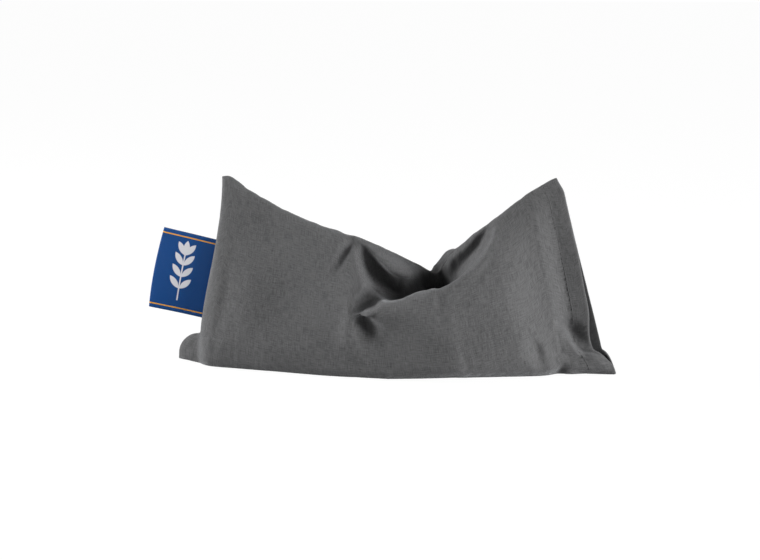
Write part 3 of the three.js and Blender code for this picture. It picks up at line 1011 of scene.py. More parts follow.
def leaf_mask() -> bpy.types.NodeTree:
    """A node group that marks one leaf: where two circles overlap."""
    tree = new_group(
        "leaf_mask",
        {
            "Place": (VECTOR, None),
            "Centre": (VECTOR, (0.0, 0.0, 0.0)),
            "Turn": (FLOAT, 0.0),
            "Length": (FLOAT, 0.008),
            "Width": (FLOAT, 0.003),
        },
        ("Mask",),
    )
    g = Graph(tree)
    source, sink = g.ends()
    moved = g.vector("SUBTRACT", source.outputs["Place"], source.outputs["Centre"])
    turning = {"Vector": moved, "Angle": source.outputs["Turn"]}
    turned = g.add("ShaderNodeVectorRotate", turning, rotation_type="Z_AXIS")
    parts = g.add("ShaderNodeSeparateXYZ", {0: turned.outputs[0]})
    along, across = (g.math("ABSOLUTE", parts.outputs[k]) for k in (0, 1))
    half_length, half_width = (g.math("MULTIPLY", source.outputs[name], 0.5) for name in ("Length", "Width"))
    radius = g.math("DIVIDE", g.squares(half_length, half_width), g.math("MULTIPLY", half_width, 2.0))
    far = g.math("ADD", across, g.math("SUBTRACT", radius, half_width))
    inside = g.math("SUBTRACT", radius, g.math("SQRT", g.squares(along, far)))
    g.feed(sink, {"Mask": g.ramp(inside, -0.00012, 0.00012)})
    return tree


# ---- Finishes ------------------------------------------------------------------------------------


@dataclass
class Workshop:
    """The node groups that several finishes share, each made once."""

    weave: bpy.types.NodeTree = field(default_factory=plain_weave)
    wear: bpy.types.NodeTree = field(default_factory=soft_wear)
    leaf: bpy.types.NodeTree = field(default_factory=leaf_mask)

    def start(self, name: str) -> tuple[bpy.types.Material, Graph, bpy.types.Node]:
        """A material with only its Principled shader, and the graph to fill it with."""
        material = bpy.data.materials.new(name)
        material.use_nodes = True
        graph = Graph(material.node_tree)
        return material, graph, material.node_tree.nodes["Principled BSDF"]

    def use(self, graph: Graph, group: bpy.types.NodeTree, inputs: dict[str, object]) -> bpy.types.Node:
        """Places a shared group in a material and sets its inputs."""
        node = graph.add("ShaderNodeGroup", node_tree=group)
        graph.feed(node, inputs)
        return node


def shaded(colour: Triple, share: float, more: float = 0.0) -> Triple:
    """A colour made darker or lighter."""
    return tuple(min(1.0, share * c + more) for c in colour)


@dataclass(frozen=True)
class WovenCotton:
    """Plain-weave cotton.

    Args:
        name: Name of the material.
        colour: Linear colour of the yarn.
        pitch: Distance between yarns, in metres.
        slub: How much thick and thin yarn places show, 0 to 1.
        relief: Depth of the weave's bump, in metres.
        sheen: Weight of the soft edge light that cotton fuzz gives.
    """

    name: str
    colour: Triple
    pitch: float = 0.00042
    slub: float = 0.6
    relief: float = 0.00009
    sheen: float = 0.35

    def make(self, workshop: Workshop) -> bpy.types.Material:
        """Builds the material."""
        material, g, shader = workshop.start(self.name)
        cloth = g.add("ShaderNodeAttribute", attribute_name="cloth").outputs["Vector"]
        weave = workshop.use(g, workshop.weave, {"Cloth": cloth, "Pitch": self.pitch, "Slub": self.slub})
        wear = workshop.use(g, workshop.wear, {"Cloth": cloth, "Patch size": 0.035})
        shade = g.math("MULTIPLY", weave.outputs["Slubs"], 1.5)
        shade = g.math("ADD", shade, g.math("MULTIPLY", wear.outputs["Patches"], 0.35))
        # Painted shade: the yarn height lightens the weave's crowns and darkens the dips between yarns; the
        # slubs and wear patches are the cloth's own tone.
        shade = g.math("ADD", shade, g.math("MULTIPLY", weave.outputs["Yarn"], 0.22))
        tone = g.mix(g.ramp(shade, 0.62, 1.42), shaded(self.colour, 0.52), shaded(self.colour, 1.56))
        lint = shaded(self.colour, 2.1, 0.02)
        tone = g.mix(g.math("MULTIPLY", wear.outputs["Lint"], 0.16), tone, lint)
        finish = {
            "Base Color": tone,
            "Roughness": g.ramp(weave.outputs["Slubs"], 0.2, 0.8, (0.95, 0.82)),
            "Specular IOR Level": 0.25,
            "Sheen Weight": self.sheen,
            "Sheen Roughness": 0.45,
            "Sheen Tint": (0.9, 0.92, 0.95, 1.0),
            "Normal": g.bump(0.55, self.relief, weave.outputs["Height"]),
        }
        g.feed(shader, finish)
        return material


@dataclass(frozen=True)
class TwistedThread:
    """Sewing thread: fine twisted strands with a slight lustre."""

    name: str
    colour: Triple

    def make(self, workshop: Workshop) -> bpy.types.Material:
        """Builds the material."""
        material, g, shader = workshop.start(self.name)
        place = g.add("ShaderNodeTexCoord").outputs["Object"]
        wave = {"Vector": place, "Scale": 1500.0, "Distortion": 0.6}
        twist = g.add("ShaderNodeTexWave", wave, bands_direction="DIAGONAL").outputs["Fac"]
        finish = {
            # Painted shade: the twist's grooves, low in the bump, are darker than the strands' crowns.
            "Base Color": g.mix(twist, shaded(self.colour, 0.7), self.colour),
            "Roughness": g.ramp(twist, 0.0, 1.0, (0.75, 0.55)),
            "Normal": g.bump(0.5, 0.00008, twist),
        }
        g.feed(shader, finish)
        return material


@dataclass(frozen=True)
class Linseed:
    """Loose linseed: small glossy brown grains lying every way."""

    name: str = "linseed_grain"
    grain: float = 0.0028

    def make(self, workshop: Workshop) -> bpy.types.Material:
        """Builds the material."""
        material, g, shader = workshop.start(self.name)
        place = g.add("ShaderNodeTexCoord").outputs["Object"]
        cells = g.add("ShaderNodeTexVoronoi", {"Vector": place, "Scale": 1.0 / self.grain, "Randomness": 1.0})
        pick = g.add("ShaderNodeSeparateColor", {0: cells.outputs["Color"]}).outputs[0]
        tone = g.mix(pick, (0.11, 0.042, 0.014), (0.30, 0.145, 0.055))
        # Painted shade: the edges of each cell are mixed to near black, standing in for the shadow in the
        # gaps between grains.
        gap = g.ramp(cells.outputs["Distance"], 0.42, 0.72)
        dome = g.math("SUBTRACT", 1.0, cells.outputs["Distance"])
        finish = {
            "Base Color": g.mix(gap, tone, (0.02, 0.01, 0.005)),
            "Roughness": g.ramp(pick, 0.0, 1.0, (0.22, 0.4)),
            "Normal": g.bump(0.9, 0.0008, dome),
        }
        g.feed(shader, finish)
        return material


@dataclass(frozen=True)
class Leaf:
    """One woven leaf of the label's sprig, on the flat label in metres."""

    centre: tuple[float, float]
    turn: float
    length: float = 0.0076
    width: float = 0.0029


@dataclass(frozen=True)
class LabelWeave:
    """The label's damask: blue ground, a white sprig, and a thin gold line along each selvedge.

    Args:
        name: Name of the material.
        width: Length of the label along the seam, in metres.
        reach: How far it stands out of the seam, in metres.
    """

    name: str
    width: float
    reach: float
    ground: Triple = (0.0012, 0.062, 0.25)
    white: Triple = (0.80, 0.80, 0.84)
    gold: Triple = (0.90, 0.42, 0.03)

    def leaves(self) -> list[Leaf]:
        """The sprig's leaves, in pairs up a stem that runs along the label."""
        centre_out, centre_up = self.reach * 0.5, self.width * 0.5
        made = [Leaf((centre_out, centre_up + 0.0125), math.radians(90.0), 0.0082, 0.0032)]
        half = 0.0041
        for step, lean in ((-0.0085, 42.0), (-0.0025, 40.0), (0.0035, 38.0), (0.0088, 34.0)):
            for hand in (-1.0, 1.0):
                turn = math.radians(90.0 - hand * lean)
                centre = (centre_out + math.cos(turn) * half, centre_up + step + math.sin(turn) * half)
                made.append(Leaf(centre, turn))
        return made

    def sprig(self, workshop: Workshop, g: Graph, cloth: Socket) -> Socket:
        """The mask of the leaves and of the stem that they grow from."""
        mask: object = 0.0
        for leaf in self.leaves():
            inputs = {
                "Place": cloth,
                "Centre": (*leaf.centre, 0.0),
                "Turn": -leaf.turn,
                "Length": leaf.length,
                "Width": leaf.width,
            }
            mask = g.math("MAXIMUM", mask, workshop.use(g, workshop.leaf, inputs).outputs["Mask"])
        parts = g.add("ShaderNodeSeparateXYZ", {0: cloth})
        beside = g.math("ABSOLUTE", g.math("SUBTRACT", parts.outputs[0], self.reach * 0.5))
        low = g.math("GREATER_THAN", parts.outputs[1], self.width * 0.5 - 0.0145)
        high = g.math("LESS_THAN", parts.outputs[1], self.width * 0.5 + 0.0105)
        stem = g.math("MULTIPLY", g.ramp(beside, 0.00042, 0.00025), g.math("MULTIPLY", low, high))
        return g.math("MAXIMUM", mask, stem)

    def make(self, workshop: Workshop) -> bpy.types.Material:
        """Builds the material."""
        material, g, shader = workshop.start(self.name)
        cloth = g.add("ShaderNodeAttribute", attribute_name="cloth").outputs["Vector"]
        sprig = self.sprig(workshop, g, cloth)
        up = g.add("ShaderNodeSeparateXYZ", {0: cloth}).outputs[1]
        ends = g.math("ABSOLUTE", g.math("SUBTRACT", up, self.width * 0.5))
        band = g.math("ABSOLUTE", g.math("SUBTRACT", ends, self.width * 0.5 - 0.0022))
        gold = g.ramp(band, 0.00038, 0.00024)
        weave = workshop.use(g, workshop.weave, {"Cloth": cloth, "Pitch": 0.0002, "Slub": 0.3})
        # Painted shade: the blue ground is lighter on the yarns' crowns and darker between them, following
        # the weave's height.
        ground = g.mix(weave.outputs["Yarn"], shaded(self.ground, 0.72), shaded(self.ground, 1.2))
        floats = g.math("MAXIMUM", sprig, gold)
        level = g.math("ADD", weave.outputs["Height"], g.math("MULTIPLY", floats, 1.4))
        finish = {
            "Base Color": g.mix(gold, g.mix(sprig, ground, self.white), self.gold),
            "Roughness": g.ramp(floats, 0.0, 1.0, (0.62, 0.45)),
            "Specular IOR Level": 0.2,
            "Sheen Weight": 0.05,
            "Sheen Roughness": 0.3,
            "Normal": g.bump(0.6, 0.00012, level),
        }
        g.feed(shader, finish)
        return material


@dataclass
class Finishes:
    """Every material of the pillow."""

    workshop: Workshop
    label_size: tuple[float, float]
    cotton: bpy.types.Material = field(init=False)
    # Painted shade: a darker copy of the cover cotton for the cloth's inner faces, so the mouth's gap looks
    # deep in shadow.
    cotton_inside_painted_shade: bpy.types.Material = field(init=False)
    calico: bpy.types.Material = field(init=False)
    thread: bpy.types.Material = field(init=False)
    bag_thread: bpy.types.Material = field(init=False)
    seed: bpy.types.Material = field(init=False)
    label: bpy.types.Material = field(init=False)

    def __post_init__(self) -> None:
        """Makes the materials."""
        self.cotton = WovenCotton("charcoal_cotton", (0.088, 0.088, 0.0895)).make(self.workshop)
        # Painted shade: the inner faces' cotton is about three times darker than the outside, standing in for
        # the shadow inside the mouth.
        self.cotton_inside_painted_shade = WovenCotton("charcoal_cotton_inside", (0.03, 0.03, 0.031)).make(self.workshop)
        self.calico = WovenCotton("calico", (0.62, 0.53, 0.38), pitch=0.0005, slub=0.8).make(self.workshop)
        self.thread = TwistedThread("charcoal_thread", (0.1, 0.1, 0.102)).make(self.workshop)
        self.bag_thread = TwistedThread("natural_thread", (0.68, 0.6, 0.46)).make(self.workshop)
        self.seed = Linseed().make(self.workshop)
        width, reach = self.label_size
        self.label = LabelWeave("label_damask", width, reach).make(self.workshop)


# ---- Pieces --------------------------------------------------------------------------------------


@dataclass
class Place:
    """Where the pillow stands in the frame."""

    centre_x: float = field(init=False)

    def __post_init__(self) -> None:
        """Reads the middle of the base seam from the cover's box."""
        low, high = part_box("cover_front_panel")
        self.centre_x = (low[0] + high[0]) / 2.0

    def metres(self, points: Array) -> Array:
        """Points of the form, in millimetres, as places in the frame."""
        out = np.asarray(points, float) * MM
        out[..., 0] += self.centre_x
        return out


def cloth_mesh(name: str, place: Place, side: Side, face: ClothFace) -> Thing:
    """One face of cloth as a mesh whose outside looks out of the pillow."""
    columns, rows = face.points.shape[:2]
    quads = grid_faces(columns, rows, flip=side is Side.BACK)
    return new_mesh(name, place.metres(face.points), quads, face.cloth * MM)


def dress(thing: Thing, material: bpy.types.Material, nodes: tuple[str, ...]) -> None:
    """Gives a pillow piece its material and body, and hides the CAD nodes that it stands for."""
    thing.data.materials.append(material)
    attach(thing, "pillow")
    if nodes:
        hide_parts(*nodes)
    log.info("%s: %d faces", thing.name, len(thing.data.polygons))


ASKEW = np.array([0.31, 0.42, 0.85])
STITCH_TAPER = (0.55, 0.95, 1.0, 1.0, 0.95, 0.55)


@dataclass(frozen=True)
class ThreadMaker:
    """Makes rows of lockstitches, and thread wound over an edge.

    Args:
        place: Where the pillow stands.
        radius: Half the thread's thickness.
        sides: Sides of its cross-section.
        stitch: Length of a stitch with its gap.
        stitch_gap: Length between two stitches.
        winding: Distance between turns over a raw edge.
        bite: How far in from the edge the wound thread reaches.
        round_edge: How far the wound thread stands off each face of the cloth.
    """

    place: Place
    radius: float = 0.16
    sides: int = 6
    stitch: float = 2.6
    stitch_gap: float = 0.5
    winding: float = 2.2
    bite: float = 1.3
    round_edge: float = 0.45

    def tubes(self, name: str, lines: list[Array], taper: Array) -> Thing:
        """One mesh of many short tubes.

        Args:
            name: Name of the piece.
            lines: Centre line of each tube, with as many points as taper has values.
            taper: Share of the full radius at each point.

        Returns:
            The piece.
        """
        points: list[Array] = []
        faces: Quads = []
        rings = len(taper)
        turn = np.linspace(0.0, 2.0 * math.pi, self.sides, endpoint=False)
        for number, line in enumerate(lines):
            run = unit(np.gradient(line, axis=0))
            across = unit(np.cross(run, ASKEW))
            other = np.cross(run, across)
            ring = across[:, None] * np.cos(turn)[:, None] + other[:, None] * np.sin(turn)[:, None]
            points.append((line[:, None] + ring * (self.radius * taper)[:, None, None]).reshape(-1, 3))
            first = number * rings * self.sides
            for i in range(rings - 1):
                for j in range(self.sides):
                    a, b = first + i * self.sides + j, first + i * self.sides + (j + 1) % self.sides
                    faces.append((a, b, b + self.sides, a + self.sides))
            faces.append(tuple(first + j for j in range(self.sides))[::-1])
            faces.append(tuple(first + (rings - 1) * self.sides + j for j in range(self.sides)))
        return new_mesh(name, self.place.metres(np.concatenate(points)), faces)

    def stitches(self, name: str, line: Array, out: Array) -> Thing:
        """A row of stitches on a line of cloth.

        Args:
            name: Name of the piece.
            line: Points of the line.
            out: Direction off the cloth at each point.

        Returns:
            The piece.
        """
        pitch, gap = self.stitch, self.stitch_gap
        walk = walked(line)
        count = int(walk[-1] / pitch)
        t = np.linspace(0.0, 1.0, len(STITCH_TAPER))
        lift = self.radius * (1.0 - np.abs(2.0 * t - 1.0) ** 2.5) - 0.5 * self.radius
        lines = []
        for number in range(count):
            at = number * pitch + 0.5 * gap + t * (pitch - gap)
            lines.append(read_off(at, walk, line) + read_off(at, walk, out) * lift[:, None])
        return self.tubes(name, lines, np.array(STITCH_TAPER))

    def overlock(self, name: str, line: Array, inward: Array) -> Thing:
        """Thread wound over a raw edge.

        Args:
            name: Name of the piece.
            line: Points of the edge.
            inward: Direction from the edge into the cloth at each point.

        Returns:
            The piece.
        """
        walk = walked(line)
        at = np.linspace(0.0, walk[-1], int(walk[-1] / self.winding * 12))
        spot, into = read_off(at, walk, line), read_off(at, walk, inward)
        side = unit(np.cross(np.gradient(spot, axis=0), into))
        turn = 2.0 * math.pi * at / self.winding
        bite = 0.5 * self.bite * (1.0 - np.cos(turn))
        wound = spot + into * bite[:, None] + side * (self.round_edge * np.sin(turn))[:, None]
        return self.tubes(name, [wound], np.ones(len(wound)))


@dataclass
class SlipCover:
    """The cotton cover: two panels, the hemmed lips of its mouth, and their rows of stitches.

    Args:
        form: The pillow's form.
        place: Where it stands.
        cloth: Thickness of the cloth.
        hem: Depth of the turned hem at the mouth.
        drape: How the cloth is settled.
    """

    form: PillowForm
    place: Place
    cloth: float = 0.7
    hem: float = 9.0
    drape: Drape = field(default_factory=Drape)
    faces: dict[Side, ClothFace] = field(default_factory=dict)

    def shape(self) -> None:
        """Builds both faces and settles them."""
        front = FaceBuilder(self.form, Side.FRONT).build()
        back = FaceBuilder(self.form, Side.BACK).build()
        front, back = self.drape.settle(front, back)
        self.faces = {Side.FRONT: front, Side.BACK: back}

    def panel(self, side: Side, name: str) -> Thing:
        """Makes one panel as cloth with thickness, thicker along its hem; its inner faces get the darker
        cotton that paints the shade in the mouth.
        """
        face = self.faces[side]
        thing = cloth_mesh(name, self.place, side, face)
        hem = thing.vertex_groups.new(name="thickness")
        to_lip = self.form.base_length - face.cloth[..., 0].ravel()
        for chosen, weight in ((to_lip <= self.hem, 1.0), (to_lip > self.hem, 0.5)):
            hem.add(np.flatnonzero(chosen).tolist(), weight, "REPLACE")
        shell = thicken(thing, 2.0 * self.cloth)
        shell.vertex_group = hem.name
        shell.thickness_vertex_group = 0.0
        # The inner faces take the second material, painted shade for the mouth's gap.
        shell.material_offset = 1
        fine = thing.modifiers.new("smooth", "SUBSURF")
        fine.levels = fine.render_levels = 1
        return thing

    def seam_rows(self) -> dict[str, tuple[Array, Array]]:
        """The line of each row of stitches inside the seams, and the direction that its thread lifts in."""
        front, back = self.faces[Side.FRONT].points, self.faces[Side.BACK].points
        down = np.array([0.0, 0.0, -1.0])
        top = front[:, -1] + down * 2.6
        base = front[4:-4, 0] + np.array([0.0, 0.0, 1.5])
        end = front[0, 3:-3] + np.array([2.6, 0.0, 0.0])
        middle = (front + back) / 2.0
        top[:, 1] = middle[:, -4, 1]
        return {
            "top_seam_thread": (top[3:-3], np.broadcast_to(down, top[3:-3].shape)),
            "bottom_seam_thread": (base, np.broadcast_to(-down, base.shape)),
            "end_seam_thread": (end, np.broadcast_to(np.array([1.0, 0.0, 0.0]), end.shape)),
        }

    def hem_row(self, side: Side) -> tuple[Array, Array]:
        """The hem's row of stitches on the outside of one lip."""
        face = self.faces[side]
        columns = face.cloth[:, 0, 0]
        at = int(np.argmin(np.abs(self.form.base_length - columns - self.hem)))
        return face.points[at, 6:-3], face.normals(side)[at, 6:-3]

    def build(self, threads: ThreadMaker, finishes: Finishes) -> Envelope:
        """Makes every piece of the cover and returns the surface that the rest stays inside."""
        self.shape()
        for side, name in ((Side.FRONT, "front_panel"), (Side.BACK, "back_panel")):
            thing = self.panel(side, f"cotton_{name}")
            dress(thing, finishes.cotton, (f"cover_{name}",))
            # Second slot: the darker cotton that paints shade on the panel's inner faces.
            thing.data.materials.append(finishes.cotton_inside_painted_shade)
        envelope = Envelope(self.faces)
        for node, (line, out) in self.seam_rows().items():
            line = envelope.keep_inside(line, gap=1.2)
            dress(threads.stitches(f"{node}_stitches", line, out), finishes.thread, (node,))
        for side, node in ((Side.FRONT, "front_hem_thread"), (Side.BACK, "back_hem_thread")):
            thing = threads.stitches(f"{node}_stitches", *self.hem_row(side))
            dress(thing, finishes.thread, (node,))
        return envelope


@dataclass
class InnerBag:
    """The calico bag inside the cover, shut all round, with overlocked edges.

    Args:
        form: The pillow's form.
        place: Where it stands.
        threads: Makes its stitches.
        cloth: Thickness of the calico.
        inset: How far it lies inside the cover's outer surface, before it is kept clear.
        clearance: How far it stays inside that surface.
        closing: Number of columns over which an end closes.
        margins: How far it stops short of the cover's left seam, mouth, top seam and base seam.
    """

    form: PillowForm
    place: Place
    threads: ThreadMaker
    cloth: float = 0.6
    inset: float = 2.6
    clearance: float = 1.6
    closing: float = 8.0 / 1.8
    margins: tuple[float, float, float, float] = (8.0, 18.0, 10.0, 2.6)
    faces: dict[Side, ClothFace] = field(default_factory=dict)

    def layer(self, side: Side, inset: float, margins: tuple[float, float, float, float]) -> ClothFace:
        """One face of a layer inside the cover."""
        return FaceBuilder(self.form, side, inset, margins, columns=110, rows=64, extra=0.12).build()

    def shape(self, envelope: Envelope) -> None:
        """Builds both faces, clear of the cover, and meeting along their edges."""
        pair = {side: self.layer(side, self.inset, self.margins) for side in Side}
        middle = (pair[Side.FRONT].points + pair[Side.BACK].points) / 2.0
        skins = {side: face.points for side, face in pair.items()}
        for side, points in shut(skins, middle, envelope, self.clearance, self.closing).items():
            self.faces[side] = ClothFace(points, pair[side].cloth)

    def build(self, envelope: Envelope, finishes: Finishes) -> None:
        """Makes the two panels and the threads that hold them."""
        self.shape(envelope)
        for side, name in ((Side.FRONT, "front"), (Side.BACK, "back")):
            thing = cloth_mesh(f"calico_{name}", self.place, side, self.faces[side])
            thicken(thing, self.cloth)
            dress(thing, finishes.calico, (f"inner_bag_{name}",))
        front = self.faces[Side.FRONT].points
        edges = {
            "top": (front[:, -1], front[:, -3]),
            "closed_end": (front[0, :], front[2, :]),
            "filling_end": (front[-1, :], front[-3, :]),
        }
        for name, (edge, next_in) in edges.items():
            thing = self.threads.overlock(f"calico_{name}_overlock", edge, unit(next_in - edge))
            dress(thing, finishes.bag_thread, (f"inner_bag_{name}_thread",))
        foot = front[:, 0] + np.array([0.0, 0.0, self.cloth + 0.1])
        up = np.broadcast_to(np.array([0.0, 0.0, 1.0]), foot.shape)
        thing = self.threads.stitches("calico_base_stitches", foot, up)
        dress(thing, finishes.bag_thread, ("inner_bag_bottom_thread",))


@dataclass
class SeedFill:
    """The linseed, one heap of grains that takes the inner bag's shape.

    Args:
        bag: The bag that holds it.
        clearance: Air between the bag and the seed.
        bump: How far single grains stand proud.
        inset: How far the heap lies inside the cover's outer surface, before it is kept clear.
        closing: Number of columns over which an end closes.
        margins: How much further than the bag it stops short of the left, right, top and base.
    """

    bag: InnerBag
    clearance: float = 1.3
    bump: float = 0.35
    inset: float = 4.4
    closing: float = 9.0 / 1.7
    margins: tuple[float, float, float, float] = (7.0, 9.0, 9.0, 1.4)

    def build(self, finishes: Finishes) -> None:
        """Makes the heap as one closed skin of grains."""
        envelope = Envelope(self.bag.faces)
        margins = tuple(m + extra for m, extra in zip(self.bag.margins, self.margins))
        pair = {side: self.bag.layer(side, self.inset, margins) for side in Side}
        middle = (pair[Side.FRONT].points + pair[Side.BACK].points) / 2.0
        skins = {}
        for side, face in pair.items():
            grains = Ripple(2.4, 4.2, 16, seed=5 + side.value).at(face.cloth[..., 0], face.cloth[..., 1])
            skins[side] = face.points - face.normals(side) * (self.bump * (1.0 - grains))[..., None]
        gap = self.clearance + self.bag.cloth + self.bump
        skins = shut(skins, middle, envelope, gap, self.closing)
        columns, rows = middle.shape[:2]
        faces = grid_faces(columns, rows, False) + grid_faces(columns, rows, True, columns * rows)
        joined = np.concatenate([skins[side].reshape(-1, 3) for side in pair])
        thing = new_mesh("linseed_heap", self.bag.place.metres(joined), faces)
        weld(thing)
        dress(thing, finishes.seed, ("seed_fill",))


@dataclass
class TuckFlap:
    """The flap inside the mouth: sewn to the back lip, and tucked round the bag to the front.

    Args:
        form: The pillow's form.
        place: Where it stands.
        cloth: Thickness of the flap.
        reach: How far it goes in from the mouth.
        crossing: Length over which it crosses from the back lip to the front.
        margin: How far it stops short of the top and base seams.
        inset: How far it lies inside the cover's outer surface, before it is kept clear.
    """

    form: PillowForm
    place: Place
    cloth: float = 0.5
    reach: float = 30.0
    crossing: float = 10.0
    margin: float = 4.0
    inset: float = 1.6

    def build(self, envelope: Envelope, finishes: Finishes) -> None:
        """Makes the flap."""
        grid = (26, 60)
        walk = np.linspace(1.2, self.reach, grid[0])[:, None]
        rows = np.linspace(0.0, 1.0, grid[1])[None, :]
        u = np.broadcast_to(1.0 - walk / self.form.base_length, grid)
        height = self.form.top_height(u)
        z = self.margin + (height - 2.0 * self.margin) * rows
        x, front = self.form.half_depth(Side.FRONT, u, z)
        _, back = self.form.half_depth(Side.BACK, u, z)
        across = smooth(walk / self.crossing)
        y = (back - self.inset) * (1.0 - across) - np.maximum(front - self.inset, 0.0) * across
        points = np.stack([x, y, z], axis=-1)
        points = envelope.keep_inside(points, gap=1.25)
        cloth = np.stack(np.broadcast_arrays(walk, z), axis=-1)
        thing = new_mesh("cotton_tuck_flap", self.place.metres(points), grid_faces(*grid, False), cloth * MM)
        thicken(thing, self.cloth, offset=0.0)
        dress(thing, finishes.cotton, ("cover_tuck_flap",))


@dataclass
class WovenLabel:
    """The label: a ribbon folded in half, with both ends caught in the closed end seam.

    Args:
        place: Where the pillow stands.
        ply: Thickness of the ribbon.
        sewn_in: Length of the ends inside the seam.
        bow: How far the outer fold bows along the label.
        wave: How far the outer fold waves back and forth.
        ruffle: How far the label waves on its way out.
        flare: Share by which the outer fold is longer than the sewn ends.
        across: Number of points from the seam to the outer fold, on each half.
        along: Number of points along the seam.
    """

    place: Place
    ply: float = 0.45
    sewn_in: float = 2.3
    bow: float = 1.1
    wave: float = 0.9
    ruffle: float = 0.35
    flare: float = 0.012
    across: int = 40
    along: int = 44

    def build(self, finishes: Finishes) -> None:
        """Makes the ribbon, rooted at the label's hinge and folded round at its outer end."""
        joint = next(j for j in frame["joints"] if j["name"] == "label_hinge")
        hinge, up = np.array(joint["pos_m"]), unit(np.array(joint["axis"]))
        back = np.array([0.0, 1.0, 0.0])
        out = np.cross(up, back)
        width, reach = finishes.label_size
        root = hinge + out * 0.5 * MM + up * 0.7 * MM
        half = (self.ply * 0.5 + 0.16) * MM
        turn_at = reach - half
        straight = np.linspace(-self.sewn_in * MM, turn_at, self.across)
        turn = np.radians(np.linspace(-90.0, 90.0, 13)[1:-1])
        d_out = np.concatenate([straight, turn_at + half * np.cos(turn), straight[::-1]])
        sides = np.full(self.across, half)
        d_back = np.concatenate([-sides, half * np.sin(turn), sides])
        walk = walked(np.stack([d_out, d_back], axis=-1))
        v = np.linspace(-0.5, 0.5, self.along)
        outwards, upwards = np.meshgrid(d_out, v * width, indexing="ij")
        backwards = np.repeat(d_back[:, None], self.along, axis=1)
        share = np.clip(outwards / reach, 0.0, 1.0)
        outwards = outwards + self.bow * MM * share * (0.25 - np.square(upwards / width)) * 4.0
        wave = self.wave * MM * share**2 * np.sin(upwards / width * 3.6 + 0.5)
        backwards = backwards + wave + self.ruffle * MM * share * np.sin(outwards / reach * 5.0)
        flared = upwards * (1.0 + self.flare * share)
        points = root + outwards[..., None] * out + flared[..., None] * up + backwards[..., None] * back
        away = unit(np.cross(np.gradient(points, axis=0), np.gradient(points, axis=1))) * self.ply * 0.5 * MM
        columns, rows = outwards.shape
        outer, inner = points + away, points - away
        count = columns * rows
        faces = grid_faces(columns, rows, False) + grid_faces(columns, rows, True, count)
        for i in range(columns - 1):
            for j, flip in ((0, True), (rows - 1, False)):
                a, b = i * rows + j, (i + 1) * rows + j
                quad = (a, b, b + count, a + count)
                faces.append(quad if flip else quad[::-1])
        for j in range(rows - 1):
            for i in (0, columns - 1):
                a, b = i * rows + j, i * rows + j + 1
                faces.append((a, b, b + count, a + count))
        flat_out = np.where(walk <= walk[-1] / 2.0, walk, walk[-1] - walk) - self.sewn_in * MM
        cloth = np.stack([np.repeat(flat_out[:, None], rows, axis=1), upwards + width / 2.0], axis=-1)
        both = np.concatenate([outer.reshape(-1, 3), inner.reshape(-1, 3)])
        flat = np.concatenate([cloth.reshape(-1, 2), cloth.reshape(-1, 2)])
        thing = new_mesh("woven_label", both, faces, flat)
        weld(thing)
        thing.data.materials.append(finishes.label)
        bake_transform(thing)
        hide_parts("label_loop", "label_sewn_ends")
        log.info("%s: %d faces", thing.name, len(thing.data.polygons))


# ---- Studio --------------------------------------------------------------------------------------

WHITE = (1.0, 1.0, 1.0, 1.0)


@dataclass(frozen=True)
class Softbox:
    """One soft light, turned to the pillow: where it hangs, its size and its power in watts."""

    name: str
    spot: Triple
    size: tuple[float, float]
    power: float


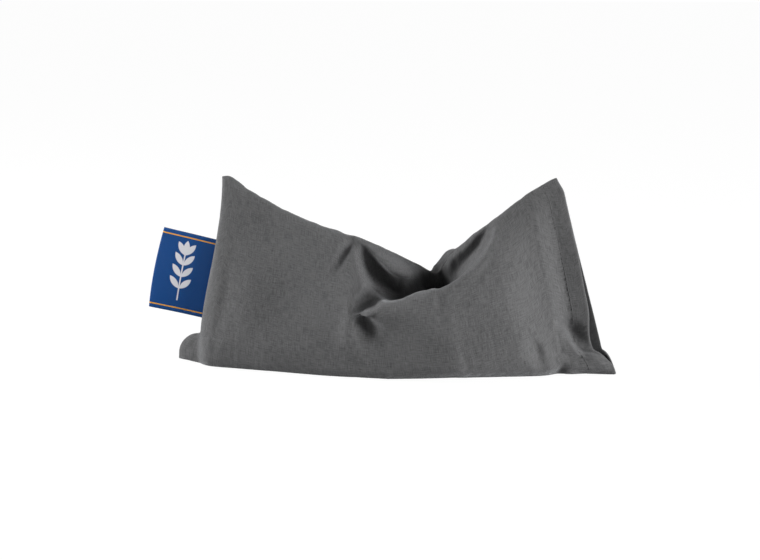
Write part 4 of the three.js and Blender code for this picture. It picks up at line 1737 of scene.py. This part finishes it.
@dataclass
class Studio:
    """Camera, lights and pale floor.

    Args:
        place: Where the pillow stands.
        azimuth: Angle of the view round the pillow, from its front towards the open end.
        elevation: Angle of the view above the floor.
        distance: From the lens to the pillow, in metres.
        sideways: How far right of the middle of the base the view is aimed.
        upwards: How far above the base it is aimed.
    """

    place: Place
    azimuth: float = 7.0
    elevation: float = 10.0
    distance: float = 0.907
    sideways: float = -7.1
    upwards: float = 44.5

    def camera(self) -> None:
        """Sets up the camera, a long way off with a portrait lens."""
        a, e = math.radians(self.azimuth), math.radians(self.elevation)
        towards = Vector((math.sin(a) * math.cos(e), -math.cos(a) * math.cos(e), math.sin(e)))
        right = Vector((math.cos(a), math.sin(a), 0.0))
        up = towards.cross(right)
        target = Vector((self.place.centre_x, 0.0, 0.0)) + right * self.sideways * MM + up * self.upwards * MM
        data = bpy.data.cameras.new("camera")
        data.lens, data.sensor_width = 85.0, 36.0
        data.clip_start = 0.01
        eye = bpy.data.objects.new("camera", data)
        eye.location = target + towards * self.distance
        eye.rotation_euler = (-towards).to_track_quat("-Z", "Y").to_euler()
        bpy.context.scene.collection.objects.link(eye)
        bpy.context.scene.camera = eye

    def lights(self) -> None:
        """Hangs the softboxes and fills the room with even light."""
        boxes = (
            Softbox("key_left", (-1.15, -0.12, 0.45), (0.5, 0.6), 18.0),
            Softbox("key_right", (1.1, -0.4, 0.26), (0.5, 0.6), 18.5),
            Softbox("top_light", (0.05, -0.25, 1.1), (0.8, 0.5), 2.0),
        )
        aim = Vector((0.0, 0.0, 0.045))
        for box in boxes:
            data = bpy.data.lights.new(box.name, "AREA")
            data.shape = "RECTANGLE"
            data.size, data.size_y = box.size
            data.energy = box.power
            lamp = bpy.data.objects.new(box.name, data)
            lamp.location = box.spot
            lamp.rotation_euler = (aim - Vector(box.spot)).to_track_quat("-Z", "Y").to_euler()
            bpy.context.scene.collection.objects.link(lamp)
        world = bpy.data.worlds.new("studio")
        world.use_nodes = True
        g = Graph(world.node_tree)
        base = world.node_tree.nodes["Background"]
        g.feed(base, {"Color": WHITE, "Strength": 0.1})
        seen = g.add("ShaderNodeBackground", {"Color": WHITE, "Strength": 1.0})
        pick = g.add("ShaderNodeLightPath").outputs["Is Camera Ray"]
        mixed = g.add("ShaderNodeMixShader", {0: pick, 1: base.outputs[0], 2: seen.outputs[0]})
        g.feed(world.node_tree.nodes["World Output"], {"Surface": mixed.outputs[0]})
        bpy.context.scene.world = world

    def floor(self) -> None:
        """Lays a plain pale floor."""
        ticks = np.array([-9.0, -1.0, -0.3, 0.0, 0.3, 1.0, 9.0])
        x, y = np.meshgrid(ticks, ticks, indexing="ij")
        points = np.stack([x, y, np.zeros_like(x)], axis=-1)
        sheet = new_mesh("floor_sheet", points, grid_faces(len(ticks), len(ticks), flip=False))
        material = bpy.data.materials.new("pale_floor")
        material.use_nodes = True
        g = Graph(material.node_tree)
        shader = material.node_tree.nodes["Principled BSDF"]
        g.feed(shader, {"Base Color": (0.6, 0.6, 0.6, 1.0), "Roughness": 0.9})
        glow = g.add("ShaderNodeEmission", {"Color": WHITE, "Strength": 1.08})
        seen = g.math("MULTIPLY", g.add("ShaderNodeLightPath").outputs["Is Camera Ray"], 0.9)
        mixed = g.add("ShaderNodeMixShader", {0: seen, 1: shader.outputs[0], 2: glow.outputs[0]})
        g.feed(material.node_tree.nodes["Material Output"], {"Surface": mixed.outputs[0]})
        sheet.data.materials.append(material)
        sheet.location.z = -0.0004

    def build(self) -> None:
        """Sets up the whole studio."""
        self.camera()
        self.lights()
        self.floor()
        bpy.context.scene.view_settings.view_transform = "Standard"


def main() -> None:
    """Builds the pillow piece by piece."""
    place = Place()
    Studio(place).build()
    finishes = Finishes(Workshop(), label_size=(0.041, 0.027))
    form = PillowForm()
    threads = ThreadMaker(place)
    envelope = SlipCover(form, place).build(threads, finishes)
    bag = InnerBag(form, place, threads)
    bag.build(envelope, finishes)
    SeedFill(bag).build(finishes)
    TuckFlap(form, place).build(envelope, finishes)
    WovenLabel(place).build(finishes)


if __name__ == "__main__":
    main()
